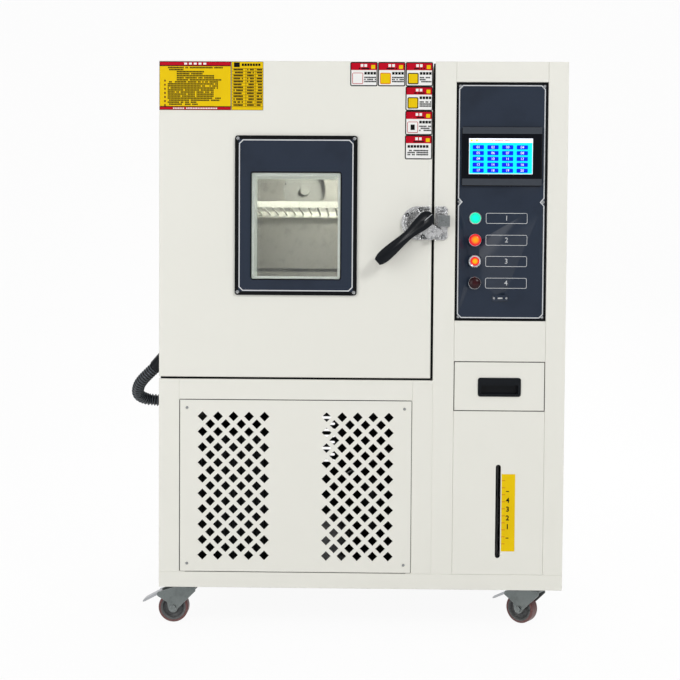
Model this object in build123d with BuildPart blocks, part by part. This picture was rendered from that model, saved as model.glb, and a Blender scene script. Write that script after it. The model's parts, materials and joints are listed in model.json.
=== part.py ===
from build123d import *
import os
from math import cos, pi, radians, sin, sqrt, tan

# Temperature and humidity test chamber of about 80 litres, standing on four swivel casters.
# +X is to the viewer's right, +Y runs from the front to the back, +Z is up, and z = 0 is the floor.
# The origin is the bottom centre of the whole machine, brake pedals and door lever included.

# Cabinet
cabinet_width = 990.0
cabinet_height = 1285.0
cabinet_depth = 900.0
sheet = 1.5  # thickness of every painted panel
seam = 0.3  # gap at a seam, and between pieces that sit on each other with play

# Front frame of folded posts and rails
frame_depth = 50.0
left_post_width = 50.0
middle_post_width = 49.0
column_post_width = 51.0
right_post_width = 48.0
column_bay_width = 222.0
bottom_rail_height = 38.0
grille_bay_height = 426.0
lower_rail_height = 49.5
fold_radius = 1.2
ledge_width = 14.0

# Heights in the right-hand column, above the underside of the cabinet
drawer_bottom = 439.5
drawer_top = 561.0
control_bottom = 660.0
control_top = 1236.0

# Door
door_gap = 6.0
door_bottom_gap = 5.0
door_thickness = 60.0
door_edge_radius = 3.0
gasket_gap = 9.0
gasket_width = 16.0
plug_depth = 22.0
plug_clearance = 7.0
window_width = 297.0
window_height = 386.0
window_plate = 5.0
window_side_border = 41.0
window_top_border = 90.0
window_bottom_border = 40.0
window_rise = 10.3  # window centre above the door's centre
pane = 5.0
pane_lap = 10.0

# Test space and its insulation
chamber_width = 400.0
chamber_height = 500.0
chamber_depth = 400.0
plenum_depth = 130.0
liner = 1.0
rear_insulation = 100.0
support_strip_width = 20.0
support_strip_depth = 5.0
shelf_height = 296.0  # above the chamber floor
shelf_wire = 5.0
shelf_front_height = 16.0

# Casters
caster_height = 105.0
caster_side_inset = 58.0
caster_end_inset = 75.0
wheel_diameter = 75.0
tread_width = 28.0
tread_thickness = 6.0
swivel_offset = 32.0
caster_plate_length = 94.0
caster_plate_width = 64.0
caster_plate_thickness = 3.0
axle_diameter = 10.0
running = 0.08  # radial clearance of a turning fit
fork_sheet = 2.5
pedal_reach = 110.0  # from the swivel axis to the pedal's tip

# Latch
latch_base_width = 71.0
latch_base_height = 81.0
latch_base_thickness = 6.0
lever_angle = 221.4  # direction of the lever's grip seen from the front, degrees from +X
lever_length = 155.0
lever_thickness = 20.0
lever_standoff = 30.0  # from the door's face to the back of the lever

# How far the farthest pieces stand out of the cabinet
left_reach = pedal_reach - caster_side_inset
front_reach = lever_standoff + lever_thickness
rear_reach = 26.0

# Places worked out from the sizes above
x_left = -(cabinet_width - left_reach) / 2
x_right = x_left + cabinet_width
y_front = -(cabinet_depth + rear_reach - front_reach) / 2
y_back = y_front + cabinet_depth
z_base = caster_height
z_top = z_base + cabinet_height
x_column1 = x_right - right_post_width
x_column0 = x_column1 - column_bay_width
x_post0 = x_column0 - column_post_width
x_bay0 = x_left + left_post_width
x_bay1 = x_post0 - middle_post_width
z_rail = z_base + bottom_rail_height
z_bay_top = z_rail + grille_bay_height
z_deck = z_bay_top + lower_rail_height
y_inside = y_front + frame_depth
x_door1 = x_post0 - door_gap
z_door0 = z_deck + door_bottom_gap
x_door = (x_left + x_door1) / 2
z_door = (z_door0 + z_top) / 2
y_door_back = y_front + door_thickness + sheet
y_seat = y_door_back + gasket_gap
y_chamber = y_seat + sheet
x_chamber0 = x_door - chamber_width / 2
x_chamber1 = x_door + chamber_width / 2
z_chamber0 = z_door - chamber_height / 2
z_chamber1 = z_door + chamber_height / 2
y_baffle = y_seat + chamber_depth
y_liner_back = y_baffle + plenum_depth
y_insulation_back = y_liner_back + liner + rear_insulation
z_floor_plate = z_rail + sheet
z_window = z_door + window_rise
window_opening_width = window_width - 2 * window_side_border
window_opening_height = window_height - window_top_border - window_bottom_border
z_window_opening = z_window + (window_bottom_border - window_top_border) / 2

pieces = {}


def keep(name, *parts):
    """Names a finished piece. Several solids of one piece stay separate solids."""
    if len(parts) == 1:
        piece = parts[0]
    else:
        piece = Compound(children=[p for part in parts for p in part.solids()])
    piece.label = name
    pieces[name] = piece


def block(x0, x1, y0, y1, z0, z1, mode=Mode.ADD):
    """A box between two corners, in the piece that is being built."""
    with Locations(((x0 + x1) / 2, (y0 + y1) / 2, (z0 + z1) / 2)):
        Box(x1 - x0, y1 - y0, z1 - z0, mode=mode)


def folded_tray(x0, x1, z0, z1, y0, depth, radius=fold_radius):
    """A sheet-metal front member: a closed face with four folded sides, open at the back."""
    with BuildPart() as tray:
        block(x0, x1, y0, y0 + depth, z0, z1)
        fillet(tray.faces().sort_by(Axis.Y)[0].edges(), radius)
        block(
            x0 + sheet,
            x1 - sheet,
            y0 + sheet,
            y0 + depth,
            z0 + sheet,
            z1 - sheet,
            mode=Mode.SUBTRACT,
        )
    return tray.part


def flat_plate(x0, x1, z0, z1, y0, thickness):
    """A flat upright plate facing the front."""
    with BuildPart() as plate:
        block(x0, x1, y0, y0 + thickness, z0, z1)
    return plate.part


# Front frame: six folded members and the ledges that the grille and the control panel sit on
grille_setback = 1.0
control_setback = 5.0
control_plate = 3.0
y_grille = y_front + grille_setback
y_control = y_front + control_setback
y_grille_ledge = y_grille + sheet
y_control_ledge = y_control + control_plate
z_control0 = z_base + control_bottom
z_control1 = z_base + control_top

frame_members = [
    folded_tray(x_left, x_right, z_base, z_rail, y_front, frame_depth),
    folded_tray(x_left, x_bay0, z_rail, z_deck, y_front, frame_depth),
    folded_tray(x_bay0, x_bay1, z_bay_top, z_deck, y_front, frame_depth),
    folded_tray(x_bay1, x_post0, z_rail, z_deck, y_front, frame_depth),
    folded_tray(x_post0, x_column0, z_rail, z_top, y_front, frame_depth),
    folded_tray(x_column1, x_right, z_rail, z_top, y_front, frame_depth),
]
frame_ledges = [
    flat_plate(x_bay0, x_bay0 + ledge_width, z_rail, z_bay_top, y_grille_ledge, sheet),
    flat_plate(x_bay1 - ledge_width, x_bay1, z_rail, z_bay_top, y_grille_ledge, sheet),
    flat_plate(
        x_column0, x_column0 + ledge_width, z_control0, z_control1, y_control_ledge, sheet
    ),
    flat_plate(
        x_column1 - ledge_width, x_column1, z_control0, z_control1, y_control_ledge, sheet
    ),
]
keep("front_frame", *frame_members, *frame_ledges)

# Base frame: inward-facing channels under a floor plate, rear uprights and the deck
channel_width = 38.0
upright_leg = 30.0
x_in0 = x_left + sheet
x_in1 = x_right - sheet
y_in1 = y_back - sheet


def channel(x0, x1, y0, y1, open_side):
    """A length of channel lying on its side, open towards one direction."""
    with BuildPart() as bar:
        block(x0, x1, y0, y1, z_base, z_rail)
        cut = {
            "+x": (x0 + sheet, x1, y0, y1),
            "-x": (x0, x1 - sheet, y0, y1),
            "+y": (x0, x1, y0 + sheet, y1),
            "-y": (x0, x1, y0, y1 - sheet),
        }[open_side]
        block(*cut, z_base + sheet, z_rail - sheet, mode=Mode.SUBTRACT)
    return bar.part


def upright(x0, x1, y0, y1, z0, z1, corner_x, corner_y):
    """An angle upright whose corner stands at corner_x, corner_y."""
    with BuildPart() as angle:
        block(x0, x1, y0, y1, z0, z1)
        cut_x = (x0, x1 - sheet) if corner_x == x1 else (x0 + sheet, x1)
        cut_y = (y0, y1 - sheet) if corner_y == y1 else (y0 + sheet, y1)
        block(*cut_x, *cut_y, z0, z1, mode=Mode.SUBTRACT)
    return angle.part


y_side0 = y_inside + channel_width
y_side1 = y_in1 - channel_width
z_inner_top = z_top - sheet
base_members = [
    channel(x_in0, x_in1, y_inside, y_side0, "+y"),
    channel(x_in0, x_in1, y_side1, y_in1, "-y"),
    channel(x_in0, x_in0 + channel_width, y_side0, y_side1, "+x"),
    channel(x_in1 - channel_width, x_in1, y_side0, y_side1, "-x"),
    flat_plate(x_in0, x_in1, z_rail, z_floor_plate, y_inside, y_in1 - y_inside),
    upright(
        x_in0, x_in0 + upright_leg, y_in1 - upright_leg, y_in1, z_floor_plate, z_inner_top, x_in0, y_in1
    ),
    upright(
        x_in1 - upright_leg, x_in1, y_in1 - upright_leg, y_in1, z_floor_plate, z_inner_top, x_in1, y_in1
    ),
    flat_plate(
        x_in0, x_post0 - sheet, z_deck - sheet, z_deck, y_inside, y_in1 - upright_leg - y_inside
    ),
    flat_plate(
        x_post0 - sheet, x_post0, z_floor_plate, z_inner_top, y_inside, y_in1 - y_inside
    ),
]
keep("base_frame", *base_members)

# Skins
side_vent_rows = 8
side_vent_pitch = 16.0
side_vent_length = 200.0
side_vent_width = 6.0
side_vent_low = 200.0  # heights of the two groups of slots above the underside of the cabinet
side_vent_high = 1090.0
test_port_bore = 50.0
port_wall = 1.5
port_flange_diameter = 84.0
port_flange_thickness = 4.0
port_depth = 200.0  # from the door seat
y_port = y_seat + port_depth
z_port = z_door
port_outer = test_port_bore + 2 * port_wall

with BuildPart() as left_side_panel:
    with BuildSketch(Plane.YZ.offset(x_left)):
        with BuildLine():
            Polyline(
                (y_inside, z_base),
                (y_back, z_base),
                (y_back, z_inner_top),
                (y_seat, z_inner_top),
                (y_seat, z_deck),
                (y_inside, z_deck),
                close=True,
            )
        make_face()
        with Locations((y_port, z_port)):
            Circle(port_outer / 2 + running, mode=Mode.SUBTRACT)
    extrude(amount=sheet)
keep("left_side_panel", left_side_panel.part)

with BuildPart() as right_side_panel:
    with BuildSketch(Plane.YZ.offset(x_right - sheet)):
        with BuildLine():
            Polyline(
                (y_inside, z_base),
                (y_back, z_base),
                (y_back, z_inner_top),
                (y_inside, z_inner_top),
                close=True,
            )
        make_face()
        vent_y = (y_front + y_back) / 2
        with Locations((vent_y, z_base + side_vent_low), (vent_y, z_base + side_vent_high)):
            with GridLocations(0, side_vent_pitch, 1, side_vent_rows):
                SlotOverall(side_vent_length, side_vent_width, mode=Mode.SUBTRACT)
    extrude(amount=sheet)
keep("right_side_panel", right_side_panel.part)

with BuildPart() as top_cover:
    with BuildSketch(Plane.XY.offset(z_inner_top)):
        with BuildLine():
            Polyline(
                (x_left, y_seat),
                (x_post0, y_seat),
                (x_post0, y_inside),
                (x_right, y_inside),
                (x_right, y_back),
                (x_left, y_back),
                close=True,
            )
        make_face()
    extrude(amount=sheet)
keep("top_cover", top_cover.part)

rear_slot_length = 160.0
rear_slot_width = 8.0
rear_slot_pitch = 20.0
rear_slot_rows = 10
gland_bore = 12.0
gland_thread = 20.0
gland_inset = 110.0  # power lead gland from the cabinet's right side
gland_lift = 90.0
drain_diameter = 16.0
drain_bore = 10.0
drain_thread = 13.0
drain_nut = 24.0
drain_nut_thickness = 5.0
drain_inboard = 30.0
drain_inset = 180.0  # drain spigot from the cabinet's left side
drain_lift = 60.0
x_power_gland = x_right - gland_inset
z_power_gland = z_rail + gland_lift
x_drain = x_left + drain_inset
z_drain = z_rail + drain_lift

with BuildPart() as rear_panel:
    with BuildSketch(Plane.XZ.offset(-y_in1)):
        with BuildLine():
            Polyline(
                (x_in0, z_base),
                (x_in1, z_base),
                (x_in1, z_inner_top),
                (x_in0, z_inner_top),
                close=True,
            )
        make_face()
        machine_vent = ((x_bay0 + x_bay1) / 2, (z_rail + z_deck) / 2)
        column_vent = ((x_column0 + x_column1) / 2, z_control1 - rear_slot_pitch * rear_slot_rows / 2)
        with Locations(machine_vent, column_vent):
            with GridLocations(0, rear_slot_pitch, 1, rear_slot_rows):
                SlotOverall(rear_slot_length, rear_slot_width, mode=Mode.SUBTRACT)
        with Locations((x_power_gland, z_power_gland)):
            Circle(gland_thread / 2 + running, mode=Mode.SUBTRACT)
        with Locations((x_drain, z_drain)):
            Circle(drain_thread / 2 + running, mode=Mode.SUBTRACT)
    extrude(amount=-sheet)
with BuildPart() as drain_spigot:
    with BuildSketch(Plane.XZ.offset(-y_back)):
        with Locations((x_drain, z_drain)):
            Circle(drain_diameter / 2)
    extrude(amount=-rear_reach)
    with BuildSketch(Plane.XZ.offset(-y_back)):
        with Locations((x_drain, z_drain)):
            Circle(drain_thread / 2)
    extrude(amount=sheet + drain_inboard)
    with BuildSketch(Plane.XZ.offset(-y_in1)):
        with Locations((x_drain, z_drain)):
            RegularPolygon(drain_nut / 2, 6)
    extrude(amount=drain_nut_thickness)
    with BuildSketch(Plane.XZ.offset(-(y_in1 - drain_inboard))):
        with Locations((x_drain, z_drain)):
            Circle(drain_bore / 2)
    extrude(amount=-(drain_inboard + sheet + rear_reach), mode=Mode.SUBTRACT)
keep("rear_panel", rear_panel.part, drain_spigot.part)

# Vented front panel: two fields of square holes standing on their corners
hole_diagonal = 24.0
hole_pitch = 38.0
hole_columns = 5
hole_rows = 10
field_spread = 304.0  # between the centres of the two fields
panel_gap = 2.0
grille_flange = 14.0
grille_screw_inset_x = 19.0
grille_screw_inset_z = 21.0
screw_hole = 5.5
x_grille = (x_bay0 + x_bay1) / 2
z_grille = (z_rail + z_bay_top) / 2

with BuildPart() as grille_panel:
    with BuildSketch(Plane.XZ.offset(-y_grille)):
        with Locations((x_grille, z_grille)):
            Rectangle(x_bay1 - x_bay0 - 2 * panel_gap, grille_bay_height - 2 * panel_gap)
            with GridLocations(
                x_bay1 - x_bay0 - 2 * grille_screw_inset_x,
                grille_bay_height - 2 * grille_screw_inset_z,
                2,
                2,
            ):
                Circle(screw_hole / 2, mode=Mode.SUBTRACT)
            with GridLocations(field_spread, 0, 2, 1):
                with GridLocations(hole_pitch, hole_pitch, hole_columns, hole_rows):
                    RegularPolygon(hole_diagonal / 2, 4, mode=Mode.SUBTRACT)
                with GridLocations(hole_pitch, hole_pitch, hole_columns - 1, hole_rows - 1):
                    RegularPolygon(hole_diagonal / 2, 4, mode=Mode.SUBTRACT)
    extrude(amount=-sheet)
    for flange_z in (z_rail + panel_gap, z_bay_top - panel_gap - sheet):
        block(
            x_bay0 + ledge_width + seam,
            x_bay1 - ledge_width - seam,
            y_grille + sheet,
            y_grille + grille_flange,
            flange_z,
            flange_z + sheet,
        )
keep("grille_panel", grille_panel.part)

# Column panels: top filler, middle filler and the lower panel with the water level slot
column_panel_depth = 20.0
slot_width = 12.5
slot_height = 230.0
slot_bottom = 79.0
z_drawer0 = z_base + drawer_bottom
z_drawer1 = z_base + drawer_top
x_column = (x_column0 + x_column1) / 2
z_slot = z_base + slot_bottom + slot_height / 2

top_filler = folded_tray(
    x_column0 + seam, x_column1 - seam, z_control1 + seam, z_top, y_front, frame_depth
)
middle_filler = folded_tray(
    x_column0 + seam, x_column1 - seam, z_drawer1, z_control0 - seam, y_front, column_panel_depth
)
with BuildPart() as water_panel:
    add(
        folded_tray(
            x_column0 + seam, x_column1 - seam, z_rail + seam, z_drawer0, y_front, column_panel_depth
        )
    )
    with BuildSketch(Plane.XZ.offset(-y_front)):
        with Locations((x_column, z_slot)):
            SlotOverall(slot_height, slot_width, rotation=90)
    extrude(amount=-sheet, mode=Mode.SUBTRACT)
keep("column_panels", top_filler, middle_filler, water_panel.part)


def ring(width, height, border, centre_x, centre_z, y0, thickness):
    """A flat rectangular ring facing the front, its border measured inwards."""
    with BuildPart() as frame_ring:
        with BuildSketch(Plane.XZ.offset(-y0)):
            with Locations((centre_x, centre_z)):
                Rectangle(width, height)
                Rectangle(width - 2 * border, height - 2 * border, mode=Mode.SUBTRACT)
        extrude(amount=-thickness)
    return frame_ring.part


def rod(start, end, diameter, bore=0.0):
    """A round bar or tube between two points."""
    axis = Vector(*end) - Vector(*start)
    with BuildPart() as bar:
        with BuildSketch(Plane(origin=start, z_dir=axis)):
            Circle(diameter / 2)
            if bore:
                Circle(bore / 2, mode=Mode.SUBTRACT)
        extrude(amount=axis.length)
    return bar.part


# Door: an outer shell, its filling, a stainless liner with a raised plug, and the window
window_shift = 2.0  # window centre to the right of the door's centre
tunnel_wall = 1.5
spacer_width = 8.0
pane_play = 0.3
liner_margin = 4.0
plug_taper = 3.0
x_window = x_door + window_shift
y_plug = y_seat + plug_depth
tunnel_width = window_opening_width + 2 * pane_lap
tunnel_height = window_opening_height + 2 * pane_lap
tunnel_depth = y_plug - liner - y_front
plug_width = chamber_width - 2 * plug_clearance
plug_height = chamber_height - 2 * plug_clearance


def window_hole(y0, y1, width, height):
    """Cuts the window's opening through the piece that is being built."""
    block(
        x_window - width / 2,
        x_window + width / 2,
        y0,
        y1,
        z_window_opening - height / 2,
        z_window_opening + height / 2,
        mode=Mode.SUBTRACT,
    )


with BuildPart() as door_shell:
    block(x_left, x_door1, y_front, y_front + door_thickness, z_door0, z_top)
    fillet(door_shell.faces().sort_by(Axis.Y)[0].edges(), door_edge_radius)
    block(
        x_left + sheet,
        x_door1 - sheet,
        y_front + sheet,
        y_front + door_thickness,
        z_door0 + sheet,
        z_top - sheet,
        mode=Mode.SUBTRACT,
    )
    window_hole(y_front, y_front + sheet, tunnel_width + 2 * tunnel_wall, tunnel_height + 2 * tunnel_wall)
keep("door_shell", door_shell.part)

with BuildPart() as door_liner:
    block(
        x_left + liner_margin,
        x_door1 - liner_margin,
        y_door_back - sheet,
        y_door_back,
        z_door0 + liner_margin,
        z_top - liner_margin,
    )
    with BuildSketch(Plane.XZ.offset(-y_door_back)):
        with Locations((x_door, z_door)):
            Rectangle(plug_width, plug_height)
    extrude(amount=-(y_plug - y_door_back), taper=plug_taper)
    fillet(door_liner.faces().sort_by(Axis.Y)[-1].edges(), door_edge_radius)
    with BuildSketch(Plane.XZ.offset(-(y_door_back - sheet))):
        with Locations((x_door, z_door)):
            Rectangle(plug_width - 2 * liner, plug_height - 2 * liner)
    extrude(amount=-(y_plug - y_door_back + sheet - liner), taper=plug_taper, mode=Mode.SUBTRACT)
    window_hole(y_plug - liner, y_plug, window_opening_width, window_opening_height)

with BuildPart() as window_tunnel:
    add(
        ring(
            tunnel_width + 2 * tunnel_wall,
            tunnel_height + 2 * tunnel_wall,
            tunnel_wall,
            x_window,
            z_window_opening,
            y_front,
            tunnel_depth,
        )
    )
middle_pane_y = y_front + (tunnel_depth - pane) / 2
spacer_depth = (tunnel_depth - 3 * pane) / 2
spacers = [
    ring(tunnel_width, tunnel_height, spacer_width, x_window, z_window_opening, spacer_y, spacer_depth)
    for spacer_y in (y_front + pane, middle_pane_y + pane)
]
keep("door_liner", door_liner.part, window_tunnel.part, *spacers)

panes = []
for pane_y in (y_front, middle_pane_y, y_front + tunnel_depth - pane):
    with BuildPart() as glass_pane:
        with BuildSketch(Plane.XZ.offset(-pane_y)):
            with Locations((x_window, z_window_opening)):
                RectangleRounded(tunnel_width - 2 * pane_play, tunnel_height - 2 * pane_play, 4)
        extrude(amount=-pane)
    panes.append(glass_pane.part)
keep("window_glass", *panes)

window_corner_radius = 7.0
with BuildPart() as window_frame:
    with BuildSketch(Plane.XZ.offset(-y_front)):
        with Locations((x_window, z_window)):
            RectangleRounded(window_width, window_height, window_corner_radius)
        with Locations((x_window, z_window_opening)):
            RectangleRounded(window_opening_width, window_opening_height, 3, mode=Mode.SUBTRACT)
    extrude(amount=window_plate)
    front_face = window_frame.faces().sort_by(Axis.Y)[0]
    chamfer(front_face.edges(), 1.2)
keep("window_frame", window_frame.part)

with BuildPart() as door_insulation:
    block(
        x_left + sheet,
        x_door1 - sheet,
        y_front + sheet,
        y_door_back - sheet,
        z_door0 + sheet,
        z_top - sheet,
    )
    with BuildSketch(Plane.XZ.offset(-(y_door_back - sheet))):
        with Locations((x_door, z_door)):
            Rectangle(plug_width - 2 * liner - seam, plug_height - 2 * liner - seam)
    extrude(amount=-(y_plug - y_door_back + sheet - liner - seam), taper=plug_taper)
    window_hole(y_front, y_plug, tunnel_width + 2 * tunnel_wall, tunnel_height + 2 * tunnel_wall)
keep("door_insulation", door_insulation.part)

gasket_inset = 12.0  # from the edge of the chamber's mouth to the gasket
with BuildPart() as door_gasket:
    with BuildSketch(Plane.XZ.offset(-y_door_back)):
        with Locations((x_door, z_door)):
            RectangleRounded(
                chamber_width + 2 * (gasket_inset + gasket_width),
                chamber_height + 2 * (gasket_inset + gasket_width),
                gasket_inset + gasket_width,
            )
            RectangleRounded(
                chamber_width + 2 * gasket_inset,
                chamber_height + 2 * gasket_inset,
                gasket_inset,
                mode=Mode.SUBTRACT,
            )
    extrude(amount=-(gasket_gap - seam))
    fillet(door_gasket.faces().sort_by(Axis.Y)[-1].edges(), gasket_width / 4)
keep("door_gasket", door_gasket.part)

# Test space: a welded liner with its front flange, slabs of insulation round it, and the air baffle
port_hole = port_outer / 2 + running
shaft_diameter = 12.0
shaft_hole = 22.0
blower_drop = 130.0  # from the chamber's roof to the blower's axis
z_blower = z_chamber1 - blower_drop
with BuildPart() as inner_liner:
    block(x_in0, x_post0 - sheet, y_seat, y_chamber, z_deck, z_inner_top)
    block(
        x_chamber0 - liner,
        x_chamber1 + liner,
        y_chamber,
        y_liner_back + liner,
        z_chamber0 - liner,
        z_chamber1 + liner,
    )
    block(x_chamber0, x_chamber1, y_seat, y_liner_back, z_chamber0, z_chamber1, mode=Mode.SUBTRACT)
    with BuildSketch(Plane.YZ.offset(x_chamber0 - liner)):
        with Locations((y_port, z_port)):
            Circle(port_hole)
    extrude(amount=liner, mode=Mode.SUBTRACT)
    with BuildSketch(Plane.XZ.offset(-y_liner_back)):
        with Locations((x_door, z_blower)):
            Circle(shaft_hole / 2)
    extrude(amount=-liner, mode=Mode.SUBTRACT)
keep("inner_liner", inner_liner.part)

slab_x0 = x_in0 + seam
slab_x1 = x_post0 - sheet - seam
slab_z0 = z_deck + seam
slab_z1 = z_inner_top - seam
liner_x0 = x_chamber0 - liner
liner_x1 = x_chamber1 + liner
liner_z0 = z_chamber0 - liner
liner_z1 = z_chamber1 + liner


def plain_block(x0, x1, y0, y1, z0, z1):
    """A plain rectangular piece, such as a slab of insulation or a mounting plate."""
    with BuildPart() as piece:
        block(x0, x1, y0, y1, z0, z1)
    return piece.part


# The left wall is laid in slabs round a smaller block that the test port passes through
port_block_wall = 36.0
port_block_reach = port_hole + port_block_wall
port_y0 = y_port - port_block_reach
port_y1 = y_port + port_block_reach
port_z0 = z_port - port_block_reach
port_z1 = z_port + port_block_reach
left_slabs = [
    plain_block(slab_x0, liner_x0, y_chamber, y_insulation_back, liner_z0, port_z0),
    plain_block(slab_x0, liner_x0, y_chamber, y_insulation_back, port_z1, liner_z1),
    plain_block(slab_x0, liner_x0, y_chamber, port_y0, port_z0, port_z1),
    plain_block(slab_x0, liner_x0, port_y1, y_insulation_back, port_z0, port_z1),
]
with BuildPart() as port_block:
    block(slab_x0, liner_x0, port_y0, port_y1, port_z0, port_z1)
    with BuildSketch(Plane.YZ.offset(slab_x0)):
        with Locations((y_port, z_port)):
            Circle(port_hole)
    extrude(amount=liner_x0 - slab_x0, mode=Mode.SUBTRACT)
with BuildPart() as rear_slab:
    block(liner_x0, liner_x1, y_liner_back + liner, y_insulation_back, liner_z0, liner_z1)
    with BuildSketch(Plane.XZ.offset(-(y_liner_back + liner))):
        with Locations((x_door, z_blower)):
            Circle(shaft_hole / 2)
    extrude(amount=-rear_insulation, mode=Mode.SUBTRACT)
keep(
    "insulation",
    plain_block(slab_x0, slab_x1, y_chamber, y_insulation_back, slab_z0, liner_z0),
    plain_block(slab_x0, slab_x1, y_chamber, y_insulation_back, liner_z1, slab_z1),
    *left_slabs,
    port_block.part,
    plain_block(liner_x1, slab_x1, y_chamber, y_insulation_back, liner_z0, liner_z1),
    rear_slab.part,
)

wheel_outer = 150.0
wheel_depth = 60.0
wheel_blades = 20
inlet_diameter = 120.0
baffle_edge_gap = 2.0
outlet_height = 30.0
return_slots = 6
return_pitch = 22.0
return_length = 300.0
return_width = 9.0
baffle_fold = 20.0
with BuildPart() as air_baffle:
    with BuildSketch(Plane.XZ.offset(-y_baffle)):
        with Locations((x_door, (z_chamber0 + z_chamber1 - outlet_height) / 2)):
            Rectangle(chamber_width - 2 * baffle_edge_gap, chamber_height - outlet_height)
        with Locations((x_door, z_blower)):
            Circle(inlet_diameter / 2, mode=Mode.SUBTRACT)
        with Locations((x_door, z_chamber0 + return_pitch * return_slots / 2 + baffle_fold)):
            with GridLocations(0, return_pitch, 1, return_slots):
                SlotOverall(return_length, return_width, mode=Mode.SUBTRACT)
    extrude(amount=-liner)
    block(
        x_chamber0 + baffle_edge_gap,
        x_chamber1 - baffle_edge_gap,
        y_baffle,
        y_baffle + baffle_fold,
        z_chamber1 - outlet_height - liner,
        z_chamber1 - outlet_height,
    )
    for fold_x in (x_chamber0 + baffle_edge_gap, x_chamber1 - baffle_edge_gap - liner):
        block(
            fold_x,
            fold_x + liner,
            y_baffle,
            y_liner_back,
            z_chamber0,
            z_chamber1 - outlet_height,
        )
keep("air_baffle", air_baffle.part)

# Wire shelf on slotted uprights
shelf_side_gap = 9.0
shelf_rods = 17
shelf_front_gap = 34.0  # from the mouth of the chamber to the shelf's front strip
rail_angle = 14.0
upright_slot_pitch = 25.0
upright_slot_rows = 16
x_shelf0 = x_chamber0 + shelf_side_gap
x_shelf1 = x_chamber1 - shelf_side_gap
y_shelf0 = y_seat + shelf_front_gap
y_shelf1 = y_baffle - shelf_front_gap
z_shelf = z_chamber0 + shelf_height

with BuildPart() as shelf:
    block(
        x_shelf0,
        x_shelf1,
        y_shelf0,
        y_shelf0 + sheet,
        z_shelf - shelf_front_height / 2,
        z_shelf + shelf_front_height / 2,
    )
    block(
        x_shelf0,
        x_shelf1,
        y_shelf1 - sheet,
        y_shelf1,
        z_shelf - shelf_front_height / 2,
        z_shelf + shelf_front_height / 2,
    )
    with BuildSketch(Plane.XZ.offset(-(y_shelf0 + sheet))):
        with Locations(((x_shelf0 + x_shelf1) / 2, z_shelf)):
            with GridLocations((x_shelf1 - x_shelf0 - shelf_wire) / (shelf_rods - 1), 0, shelf_rods, 1):
                Circle(shelf_wire / 2)
    extrude(amount=-(y_shelf1 - y_shelf0 - 2 * sheet))
keep("shelf", shelf.part)

rail_parts = []
rail_top = z_shelf - shelf_front_height / 2 - seam
for side, wall_x in ((1, x_chamber0), (-1, x_chamber1)):
    for strip_y in (y_shelf0 + 2 * support_strip_width, y_shelf1 - 2 * support_strip_width):
        with BuildPart() as strip:
            block(
                min(wall_x, wall_x + side * support_strip_depth),
                max(wall_x, wall_x + side * support_strip_depth),
                strip_y - support_strip_width / 2,
                strip_y + support_strip_width / 2,
                z_chamber0 + support_strip_width,
                z_chamber1 - 2 * support_strip_width,
            )
            with BuildSketch(Plane.YZ.offset(min(wall_x, wall_x + side * support_strip_depth))):
                with Locations((strip_y, z_door)):
                    with GridLocations(0, upright_slot_pitch, 1, upright_slot_rows):
                        Rectangle(support_strip_depth, support_strip_depth * 2, mode=Mode.ADD)
            extrude(amount=support_strip_depth, mode=Mode.SUBTRACT)
        rail_parts.append(strip.part)
    rail_x = wall_x + side * support_strip_depth
    with BuildPart() as rail:
        block(
            min(rail_x, rail_x + side * sheet),
            max(rail_x, rail_x + side * sheet),
            y_shelf0,
            y_shelf1,
            rail_top - rail_angle,
            rail_top,
        )
        block(
            min(rail_x, rail_x + side * rail_angle),
            max(rail_x, rail_x + side * rail_angle),
            y_shelf0,
            y_shelf1,
            rail_top - sheet,
            rail_top,
        )
    rail_parts.append(rail.part)
keep("shelf_rails", *rail_parts)

# Lamp under the roof of the chamber, near the window
lamp_diameter = 60.0
lamp_base = 12.0
lamp_glass = 34.0
lamp_wall = 3.0
lamp_inset = 90.0
lamp_setback = 95.0
x_lamp = x_chamber1 - lamp_inset
y_lamp = y_seat + lamp_setback
with BuildPart() as lamp_holder:
    with BuildSketch(Plane.XY.offset(z_chamber1 - lamp_base)):
        with Locations((x_lamp, y_lamp)):
            Circle(lamp_diameter / 2)
    extrude(amount=lamp_base)
    chamfer(lamp_holder.edges().group_by(Axis.Z)[0], 2)
with BuildPart() as lamp_dome:
    lamp_section = Plane(origin=(x_lamp, y_lamp, z_chamber1 - lamp_base), x_dir=(1, 0, 0), z_dir=(0, -1, 0))
    with BuildSketch(lamp_section):
        with BuildLine():
            outer_r = lamp_diameter / 2 - lamp_wall
            Polyline((0, 0), (outer_r, 0), (outer_r, -lamp_glass + outer_r))
            RadiusArc((outer_r, -lamp_glass + outer_r), (0, -lamp_glass), outer_r)
            Line((0, -lamp_glass), (0, 0))
        make_face()
    revolve(axis=Axis((x_lamp, y_lamp, 0), (0, 0, 1)))
keep("chamber_lamp", lamp_holder.part, lamp_dome.part)

# Control column: fascia with the touch screen, two push buttons, two lamps and a service socket
screen_width = 194.0
screen_height = 143.0
screen_bezel = 8.0
screen_body_margin = 6.0
screen_body_depth = 42.0
display_width = 154.0
display_height = 86.0
display_depth = 1.5
display_left_shift = 3.0
screen_centre = 1057.5  # height above the underside of the cabinet
button_hole = 22.4
button_bezel = 30.0
button_bezel_thickness = 5.0
button_body_depth = 38.0
button_bore = 19.0
button_cap_play = 0.3
button_proud = 3.0
button_cap_length = 14.0
button_travel = 4.0
button_column = 48.5  # from the column bay's left edge
light_button_height = 908.7
power_lamp_height = 855.8
power_button_height = 804.3
alarm_lamp_height = 751.6
lamp_cap_height = 6.0
socket_height = 715.0
socket_width = 38.0
socket_plate_height = 16.0
socket_depth = 22.0
x_controls = x_column0 + button_column
z_screen = z_base + screen_centre
fastener_inset = 9.0

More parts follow.
